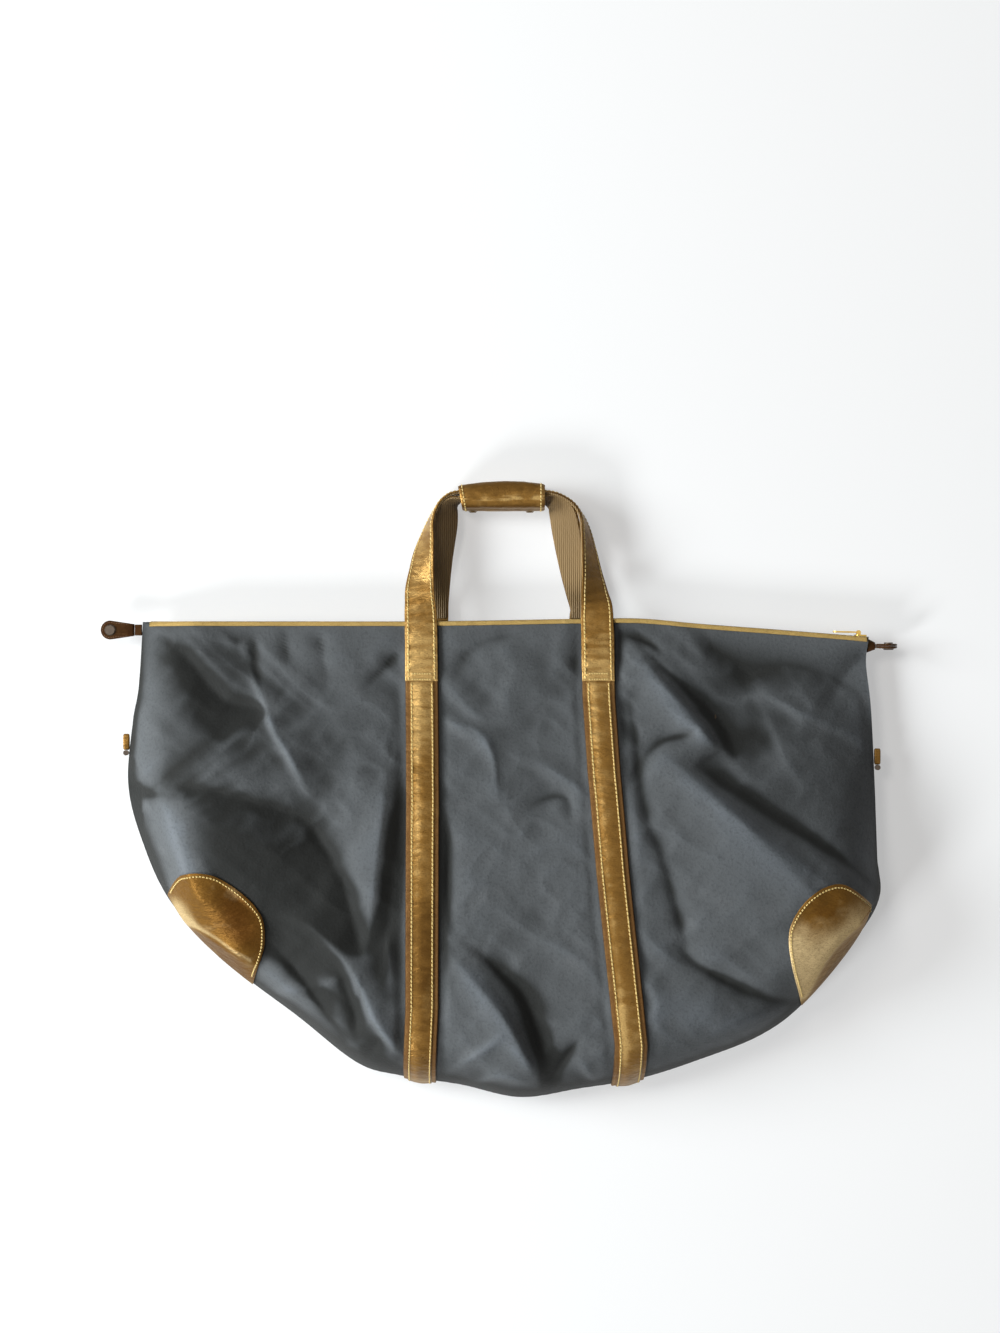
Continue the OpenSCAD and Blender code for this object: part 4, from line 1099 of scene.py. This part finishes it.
def zip_tape(front):
    """One woven tape, which stands on edge between a row of teeth and a binding."""
    x = np.arange(-ZIP_L - TAPE_PAST, -0.5, 4.0)[:, None]
    # Past the stop the two tapes close up towards the corner.
    low = TAPE_FROM - 4.3 * ease((-ZIP_L - x) / 14)
    mouth_x = ZIP_RIGHT[0] + x
    room = HALF_MOUTH * parting(mouth_x, mouth_y(mouth_x))
    high = np.minimum(TAPE_TO, np.maximum(room - 0.8, low + 0.4))
    z = (low + (high - low) * np.linspace(0, 1, 6)) * (1 if front else -1)
    sway = 0.12 * np.sin(x / 23.0)
    where = side_name(front)
    piece(f"zip_tape_{where}", closed_sheet(at_zip(x, sway + 0.45, z),
                                            at_zip(x, sway - 0.45, z)),
          tape_weave, nodes=[f"{where}_zip_tape"])


for front in (True, False):
    zip_tape(front)


# ---- Handles ----

# The levels at which the two handles leave the mouth.
FRONT_START_Z = SEAM_Z + 12 + 1.6 + 4.5 - 2
BACK_START_Z = SEAM_Z - 12 - 1.6 - 4.1 + 2
# The middle of each ribbon from left to right: x, y, z, and how far it has turned from lying
# flat, at 0, to standing on edge, at 90 degrees.
FRONT_PATH = [
    (-81, 179.15, FRONT_START_Z, 0), (-81.5, 191, FRONT_START_Z, 4), (-82.2, 207, 34.5, 14),
    (-80.6, 226, 30, 33), (-78.3, 245, 27, 46), (-74.8, 263, 24.5, 62), (-71, 280, 23, 79),
    (-65, 294, GRIP_Z, 87), (-56, 304.5, GRIP_Z, 90), (-43, 310, GRIP_Z, 90),
    (-10, 311.8, GRIP_Z, 90), (20, 311.8, GRIP_Z, 90), (52, 310, GRIP_Z, 90),
    (67, 305.5, GRIP_Z, 90), (79, 297, GRIP_Z, 90), (87, 286, GRIP_Z, 84),
    (91.5, 270, 24, 72), (95, 248, 26, 60), (98, 224, 29.5, 46), (100.5, 204, 34, 26),
    (102.5, 191, FRONT_START_Z, 6), (103, 179.15, FRONT_START_Z, 0)]
BACK_PATH = [
    (-70, 179.15, BACK_START_Z, 0), (-69, 192, BACK_START_Z, 6), (-66, 214, 11, 22),
    (-62, 238, 16, 34), (-58.5, 260, 19.5, 36), (-56.5, 275, 21, 34), (-54.5, 288, 22, 40),
    (-49.5, 298.5, GRIP_Z, 62), (-42.5, 303, GRIP_Z, 82), (-33, 304, GRIP_Z, 90),
    (0, 304, GRIP_Z, 90), (40, 304, GRIP_Z, 90), (50, 303.6, GRIP_Z, 76),
    (60, 299.5, GRIP_Z, 50), (67.5, 288, 22, 28), (71.5, 270, 20, 20), (75.5, 249, 17, 22),
    (81, 226, 13, 20), (87, 206, 9, 12), (92, 190, BACK_START_Z, 3),
    (92, 179.15, BACK_START_Z, 0)]
# The handles bend from the bag to their own body between these two places, in metres.
HANDLE_HINGE = ("bag", "handles", (0, 0.178, 0.03), (0, 0.206, 0.03))
# Creases across the handles' sewn ends.
LAP_CREASES = [(118.5, 0.5, 2.2, 0.0), (126, -0.6, 1.8, 0.15), (131, 0.6, 2.4, 0.2),
               (137, -0.5, 1.8, -0.12), (142, 0.5, 2.6, 0.1), (149, -0.5, 2.0, 0.12),
               (155, 0.35, 2.5, -0.1), (166, -0.25, 2.4, 0.1)]
# Painted light and shade along a handle, at shares of the way from its left end to its right
# one.
HANDLE_PAINTED_LIGHT = [(0, 1.0), (0.08, 0.85), (0.17, 0.55), (0.3, 0.72), (0.42, 0.5),
                 (0.55, 0.3), (0.68, 0.2), (0.8, 0.28), (0.9, 0.6), (1, 0.95)]


def handle_frames(path, lift):
    """The middle, the way across and the normal of a ribbon at each step of its path."""
    run = smooth_run(path, 10)
    step = np.gradient(run[:, :2], axis=0)
    step /= np.linalg.norm(step, axis=1, keepdims=True)
    step[0], step[-1] = (0, 1), (0, -1)
    side = pair_up(step[:, 1], -step[:, 0], 0)
    turn = np.radians(run[:, 3:])
    up = np.array([0, 0, lift])
    across = np.cos(turn) * side + np.sin(turn) * up
    return run[:, :3], across, np.cos(turn) * up - np.sin(turn) * side


def ribbon_grid(path, lift, cols, low):
    """Rows of a handle's ribbon from one side of the mouth to the other."""
    middle, across, normal = handle_frames(path, lift)
    narrow = 1 - ease((middle[:, 1:2] - 180) / 20) / 17
    spread = middle[:, None] + (narrow * cols)[..., None] * across[:, None]
    normal = np.broadcast_to(normal[:, None], spread.shape)
    return spread + low * normal, normal


def sewn_end(line, front, cols):
    """Rows of a handle's end, sewn down between its tacks and the mouth."""
    y = np.arange(TACK_Y + 0.4, 177.5, 1.5)[:, None]
    base = rows_on(line, y, cols, front)
    normal = grid_normals(base)
    if (normal[2, 3, 2] < 0) == front:
        normal = -normal
    return base + LAP_UNDER * normal, normal, cross_creases(y, cols, LAP_CREASES)


def handle(front, path, lines):
    """A handle in one run of leather, from its tacks on one side to those on the other."""
    lift, thin = (1, 1.0) if front else (-1, 0.72)
    cols, heights = section(STRAP_W / 2, 1.5 * thin, HANDLE_SEAM, dome=0.35 * thin,
                            lip=0.3 * thin)
    left, left_up, left_creases = sewn_end(lines[0], front, cols)
    right, right_up, right_creases = sewn_end(lines[1], front, cols)
    loop, loop_up = ribbon_grid(path, lift, cols, 0.1)
    low = np.concatenate([left, loop[1:-1], right[::-1, ::-1]])
    up = np.concatenate([left_up, loop_up[1:-1], right_up[::-1, ::-1]])
    inner = (np.abs(cols) < 12.4) * thin
    crease = np.zeros(low.shape[:2])
    crease[:len(left)] = left_creases * inner
    crease[-len(right):] = right_creases[::-1, ::-1] * inner
    top = low + up * ((heights + crease) * rounded_ends(len(low), 0.9))[..., None]
    # A painted highlight beside the middle, dark edges and rubbed spots.
    across = 0.10 * np.exp(-((cols + 6) / 4) ** 2) - 0.3 * (np.abs(cols) > 16.3)
    steps = np.arange(len(low))[:, None]
    rubbed = soft_noise(cols / 3, 3.0 * steps, 6.0, 43)
    tone = painted_light_along(steps / (len(low) - 1), HANDLE_PAINTED_LIGHT) + across
    # Creases get painted shade where they dip and painted light where they rise.
    tone = np.clip(tone + 0.25 * crease + 0.15 * rubbed, 0, 1)
    where = side_name(front)
    piece(f"handle_{where}", closed_sheet(top, low), tan,
          nodes=[f"{where}_left_lap", f"{where}_right_lap", f"{where}_handle_leather"],
          across=HANDLE_HINGE, tone=[tone, tone])
    sewn = edge_stitches(top, up, cols, HANDLE_SEAM)
    inside = np.abs(cols) < 12.5
    for row in (1, 5, -2, -6):
        sewn.append(stitches(top[row][inside], up[row][inside], pitch=2.6, length=2.3,
                             radius=0.8))
    piece(f"handle_stitches_{where}", join_solids(sewn), thread, across=HANDLE_HINGE)
    cols, heights = section(RIBBON_W / 2, 1.8)
    spread, normal = ribbon_grid(path, lift, cols, -0.1)
    inside_face = spread - heights[:, None] * normal
    piece(f"handle_inside_{where}", closed_sheet(inside_face, spread), rib_lining,
          nodes=[f"{where}_handle_lining"], across=HANDLE_HINGE)


handle(True, FRONT_PATH, (LEFT_LINE, RIGHT_LINE))
handle(False, BACK_PATH, (LEFT_BACK_LINE, RIGHT_BACK_LINE))


# ---- Wrap round both handles ----

# The wrap's place and length, and half its section's height and depth with the radius of
# its corners and the thickness of its leather.
WRAP_X, WRAP_Y, WRAP_L = 3.0, 308.7, 91.0
WRAP_H, WRAP_D, WRAP_R, WRAP_T = 19.0, 15.2, 7.5, 2.4
# How far from the wrap's ends its stitches run.
WRAP_SEAM = 3.4


def wrap_profile(upper, grow):
    """Half of the wrap's round-cornered section, as points (y, z) from back to front."""
    d, h, r = WRAP_D + grow, WRAP_H + grow, WRAP_R + grow
    high = h - r

    def corner(y, start):
        return [(y + r * math.cos(a), high + r * math.sin(a))
                for a in np.linspace(start, start + math.pi / 2, 12)]

    points = [(d, 0.15), (d, high * 0.5)] + corner(d - r, 0)
    points += [((d - r) * k, h) for k in np.linspace(0.88, -0.88, 15)]
    points += corner(r - d, math.pi / 2) + [(-d, high * 0.5), (-d, 0.15)]
    return np.array(points) * (1, 1 if upper else -1)


def wrap_shell(upper):
    """One half of the wrap: a bent sheet of leather with rolled ends.

    The upper half is the flap, whose front edge laps down over the lower half."""
    along_x = np.concatenate([[0, 0.4, 1.1, 2.2], np.linspace(4, WRAP_L - 4, 64),
                              [WRAP_L - 2.2, WRAP_L - 1.1, WRAP_L - 0.4, WRAP_L]])
    from_end = np.minimum(along_x, WRAP_L - along_x)
    roll = 1 - ease(from_end / 2.0) + 0.22 * np.exp(-((from_end - WRAP_SEAM) / 0.7) ** 2)
    lap_z = np.array([-2.0, -6.0, -9.0, -10.0])
    outers, inners = [], []
    for x, near, sink in zip(along_x, from_end, roll):
        outer = wrap_profile(upper, -sink)
        inner = wrap_profile(upper, -WRAP_T)
        share = x / WRAP_L
        narrow = (0.6 * 7.2 * (1 - share) ** 1.6 + 0.6 * 4.6 * share ** 2.2
                  + 0.4 * 6.0 * (2 * share - 1) ** 2)
        if upper:
            edge = -WRAP_D + sink
            knee = [(edge - 0.8, 6.5), (edge - 2.1, 3.6), (edge - 2.3, 1.0)]
            outer = np.vstack([outer[:-2], knee,
                               pair_up(edge - 2.3 + np.array([0, 0, 0.3, 0.9]), lap_z)])
            inner = np.vstack([inner, [(-WRAP_D - 0.2, 0.15)], pair_up(-WRAP_D - 0.3, lap_z)])
            inner = resample(inner, len(outer))
        angle = np.arctan2(outer[:, 1], outer[:, 0])
        wrinkle = 0.2 * soft_noise(0.5 * x + 0 * angle, 14 * angle, 3.2, 21) * ease(near / 8)
        outer = outer * (1 + wrinkle / np.hypot(*outer.T))[:, None]
        for rows, (y, z) in ((outers, outer.T), (inners, inner.T)):
            upward = (y + WRAP_D) / (2 * WRAP_D)
            slant = 4.5 * (1 - upward) * (1 - share) ** 2
            rows.append(pair_up(x + slant + WRAP_X - WRAP_L / 2,
                                y - narrow * upward + WRAP_Y, z + GRIP_Z))
    return np.array(outers), np.array(inners)


def wrap_stitches(outer):
    """Rows of thread near both ends of a half of the wrap."""
    rows = []
    centre = outer.mean((0, 1))
    for target in (WRAP_SEAM, WRAP_L - WRAP_SEAM):
        k = int(np.argmin(np.abs(outer[:, 0, 0] - (WRAP_X - WRAP_L / 2) - target)))
        normal = (outer[k] - centre) * (0, 1, 1)
        normal /= np.linalg.norm(normal, axis=1, keepdims=True)
        rows.append(stitches(resample(outer[k], 60), resample(normal, 60), pitch=3.8,
                             length=2.8, lift=0.05))
    return join_solids(rows)


def wrap_painted_light(points):
    """Painted shade along the top of the wrap and a crinkled painted highlight below its middle.
    """
    upward = (points[:, 1] - WRAP_Y + WRAP_D) / (2 * WRAP_D)
    highlight_crinkle = soft_noise(points[:, 0] / 5, 1.3 * points[:, 1], 2.2, 31)
    highlight_band = np.exp(-((upward - 0.34) / 0.17) ** 2)
    return np.clip(0.15 + highlight_band * (0.55 + 0.5 * highlight_crinkle), 0, 1)


flap_outer, flap_inner = wrap_shell(True)
flap_solid = closed_sheet(flap_outer, flap_inner)
piece("wrap_flap_leather", flap_solid, tan, body="wrap_cover",
      nodes=["wrap_flap"], tone=wrap_painted_light(flap_solid[0]))
piece("wrap_flap_stitches", wrap_stitches(flap_outer), thread, body="wrap_cover")
under_outer, under_inner = wrap_shell(False)
piece("wrap_under_leather", closed_sheet(under_outer, under_inner), tan, body="handles",
      nodes=["wrap_under"])
piece("wrap_under_stitches", wrap_stitches(under_outer), thread, body="handles")


# ---- Tabs at the ends of the zip and on the side seams ----

TAB_W = 20.0
# Half the thickness of a tab, which is also the radius of the knuckle it folds about.
KNUCKLE = 2.3


def rounded_slab(loop, low, high, place, round_by=0.5, knuckle=None):
    """A flat piece of leather from a plan, its edges rounded over and put in its place."""
    middle = loop.mean(0)
    out = loop - middle
    size = np.linalg.norm(out, axis=1, keepdims=True)
    thick = high - low
    rows = []
    for inset, z in ((2.6, low), (round_by, low), (round_by * 0.3, low + 0.2 * thick),
                     (0.0, low + 0.45 * thick), (0.0, low + 0.6 * thick),
                     (round_by * 0.3, high - 0.15 * thick), (round_by, high), (2.6, high)):
        p = middle + out * (1 - inset / np.maximum(size, 3.0))
        if knuckle:
            reach = np.sqrt(np.maximum(0.02, knuckle ** 2 - np.minimum(p[:, 0], 0) ** 2))
            z = np.clip(z, -reach, reach)
        rows.append(pair_up(p[:, 0], p[:, 1], z))
    return closed_rings(place(np.array(rows)))


def tab_plan(length):
    """A tab's outline: a narrow root that widens to a round tip."""
    root_w = 0.62 * TAB_W
    r = min(TAB_W, length) / 2
    tip = [(length - r + r * math.cos(a), r * math.sin(a))
           for a in np.linspace(-math.pi / 2, math.pi / 2, 25)]
    low = [(-KNUCKLE * (1 - u) + (length - r) * u, -root_w / 2 * (1 - u) - r * u)
           for u in np.linspace(0, 0.94, 12)]
    high = [(x, -y) for x, y in low[::-1]]
    root = [(-KNUCKLE, root_w / 2 * (1 - 2 * u)) for u in (0.25, 0.5, 0.75)]
    return np.array(low + tip + high + root)


# The lines about which the two tabs fold, and how a tab lies from there.
LEFT_FOLD = np.array([-384.5, 166.4, SEAM_Z])
RIGHT_FOLD = np.array([397.6, 149.6, SEAM_Z])


def at_left(p):
    return LEFT_FOLD + p * (-1, -1, 1)


def at_right(p):
    return RIGHT_FOLD + np.stack([p[..., 0], -p[..., 2], p[..., 1]], -1)


def zip_end_tab(side, place, length):
    """A zip end tab: two layers of leather with thread round their edge."""
    plan = tab_plan(length)
    for layer, low, high in (("upper", 0.12, KNUCKLE), ("lower", -KNUCKLE, -0.12)):
        piece(f"{side}_tab_{layer}_leather",
              rounded_slab(plan, low, high, place, knuckle=KNUCKLE), red_brown,
              body=f"{side}_zip_tab", nodes=[f"{side}_tab_{layer}"])
    out = plan - plan.mean(0)
    line = (plan.mean(0) + out * (1 - 1.9 / np.linalg.norm(out, axis=1, keepdims=True)))[2:-5]
    top, above = (place(pair_up(*line.T, z)) for z in (KNUCKLE, KNUCKLE + 1))
    sewn = stitches(top, above - top, pitch=2.6, length=1.9, radius=0.32, lift=0.0)
    piece(f"{side}_tab_stitches", sewn, dark_thread, body=f"{side}_zip_tab")


zip_end_tab("left", at_left, 33.0)
zip_end_tab("right", at_right, 21.0)


def block_plan(x0, x1, half):
    """A rectangle with extra points beside its corners."""
    corner = 1.2
    p = np.array([(x0, -half), (x1, -half), (x1, half), (x0, half)])
    loop = []
    for a, b in zip(p, np.roll(p, -1, 0)):
        d = corner * (b - a) / np.linalg.norm(b - a)
        loop.extend([a + 0.4 * d, a + d, (a + b) / 2, b - d, b - 0.4 * d])
    return np.array(loop)


piece("left_tab_root_leather",
      rounded_slab(block_plan(-10.3, -2.6, 5.8), -KNUCKLE, KNUCKLE, at_left, 0.6), red_brown,
      nodes=["left_tab_root"])


def right_root():
    """The beak that ties the right tab to the body, deeper towards the bag."""
    c, s = squircle(28, 5)
    rings = [pair_up(x, (low + high) / 2 + (high - low) / 2 * c, half * s)
             for x, low, high, half in (
                 (-2.65, -3.4, 3.4, 5.0), (-2.9, -3.9, 3.9, 5.6), (-5.0, -4.6, 5.0, 5.8),
                 (-8.0, -5.8, 6.6, 5.8), (-10.4, -6.7, 7.7, 5.6), (-10.85, -6.3, 7.2, 5.1))]
    return RIGHT_FOLD + np.array(rings)


piece("right_tab_root_leather", closed_rings(right_root()), red_brown,
      nodes=["right_tab_root"])


def side_tab(name, x, y, side, node):
    """A folded leather loop that pokes out of the side seam."""
    c, s = squircle(24, 4)
    rings = [pair_up(x + side * (3.5 + 3.45 * c * shrink ** 0.3), y - 8.5 + 17 * u,
                     SEAM_Z + 1.95 * s * shrink)
             for u, shrink in ((0.0, 0.25), (0.04, 0.6), (0.12, 0.92), (0.3, 1.0), (0.7, 1.0),
                               (0.88, 0.92), (0.96, 0.6), (1.0, 0.25))]
    piece(name, closed_rings(np.array(rings)), tan, nodes=[node])


side_tab("left_side_loop", -387.2, 49.0, -1, "left_side_tab")
side_tab("right_side_loop", 394.3, 33.6, 1, "right_side_tab")


# ---- Finishes of the rigid parts ----

for names, finish in (
        (("front_zip_teeth", "back_zip_teeth", "zip_end_stop", "slider_body", "pull_tab"),
         brass),
        (("wrap_studs", "wrap_caps"), old_brass),
        (("left_side_stud", "right_side_stud", "left_tab_cap", "right_tab_cap",
          "left_tab_socket", "right_tab_socket"), dark_stud)):
    for name in names:
        for slot_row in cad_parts[name].material_slots:
            slot_row.material = finish


# ---- Floor, light and camera ----

# The share of the floor's light that it gives off itself, so that its shadows stay soft.
FLOOR_GLOW = 0.45
# The floor lies just under the back handle's thread.
FLOOR_Z = -0.0013


def stage_surface(owner, output, share, plain, bright, rays):
    """A surface that shows its bright shader to a share of some rays, else the plain one."""
    nodes = Nodes(owner)
    nodes.tree.nodes.clear()
    chosen = nodes.node("ShaderNodeLightPath", output=rays[0])
    for ray in rays[1:]:
        chosen = chosen.math("MAXIMUM", chosen, nodes.node("ShaderNodeLightPath", output=ray))
    mixed = nodes.node("ShaderNodeMixShader", {}, {0: chosen * share, 1: nodes.node(*plain),
                                                   2: nodes.node(*bright)})
    nodes.node(output, {}, {"Surface": mixed})


# A white sweep that keeps a soft share of the bag's shadow.
white_floor = bpy.data.materials.new("white_floor")
stage_surface(white_floor, "ShaderNodeOutputMaterial", FLOOR_GLOW,
              ("ShaderNodeBsdfDiffuse", {}, {"Color": (0.88, 0.88, 0.88, 1)}),
              ("ShaderNodeEmission", {}, {"Color": (1, 1, 1, 1)}),
              ("Is Camera Ray", "Is Glossy Ray"))
floor_mesh = bpy.data.meshes.new("floor")
floor_mesh.from_pydata([(x, y, FLOOR_Z) for x, y in ((-6, -6), (6, -6), (6, 6), (-6, 6))],
                       [], [(0, 1, 2, 3)])
floor_mesh.materials.append(white_floor)
floor = bpy.data.objects.new("floor", floor_mesh)
bpy.context.scene.collection.objects.link(floor)


def area_lamp(name, azimuth, elevation, distance, size, share, colour):
    """A soft lamp; share is how bright a white card facing it at the bag would look."""
    data = bpy.data.lights.new(name, "AREA")
    data.shape = "DISK"
    data.size = size
    data.color = colour
    data.energy = share * math.pi ** 2 * distance ** 2
    lamp = bpy.data.objects.new(name, data)
    a, e = math.radians(azimuth), math.radians(elevation)
    aim = Vector((0, 0, 0.04))
    lamp.location = aim + distance * Vector((math.cos(a) * math.cos(e),
                                             math.sin(a) * math.cos(e), math.sin(e)))
    lamp.rotation_euler = (aim - lamp.location).to_track_quat("-Z", "Y").to_euler()
    bpy.context.scene.collection.objects.link(lamp)


area_lamp("window", 170, 27, 5.0, 2.4, 1.38, (0.92, 0.975, 1.0))
area_lamp("second_window", 222, 29, 5.0, 1.4, 0.74, (0.95, 0.98, 1.0))
area_lamp("ceiling_lamp", 140, 58, 4.0, 1.3, 0.26, (1.0, 0.97, 0.93))

# A dim warm room, plain white wherever it is seen or mirrored.
world = bpy.data.worlds.new("studio")
bpy.context.scene.world = world
stage_surface(world, "ShaderNodeOutputWorld", 1.0,
              ("ShaderNodeBackground", {}, {"Color": (1.0, 0.95, 0.87, 1), "Strength": 0.05}),
              ("ShaderNodeBackground", {}, {"Color": (1, 1, 1, 1), "Strength": 1.0}),
              ("Is Camera Ray", "Is Glossy Ray", "Is Transmission Ray"))

# The camera looks straight down and sees this height, in metres, at the level of the seam.
# The middle of its picture lies a little above the bag's.
SEEN_HEIGHT = 1.4
CAMERA_AWAY = 2.6
camera_data = bpy.data.cameras.new("camera")
camera_data.sensor_fit = "VERTICAL"
camera_data.sensor_height = 36.0
camera_data.lens = camera_data.sensor_height * CAMERA_AWAY / SEEN_HEIGHT
camera = bpy.data.objects.new("camera", camera_data)
camera.location = (0.0016, 0.1281, SEAM_Z * MM + CAMERA_AWAY)
bpy.context.scene.collection.objects.link(camera)
bpy.context.scene.camera = camera
bpy.context.scene.view_settings.view_transform = "Standard"
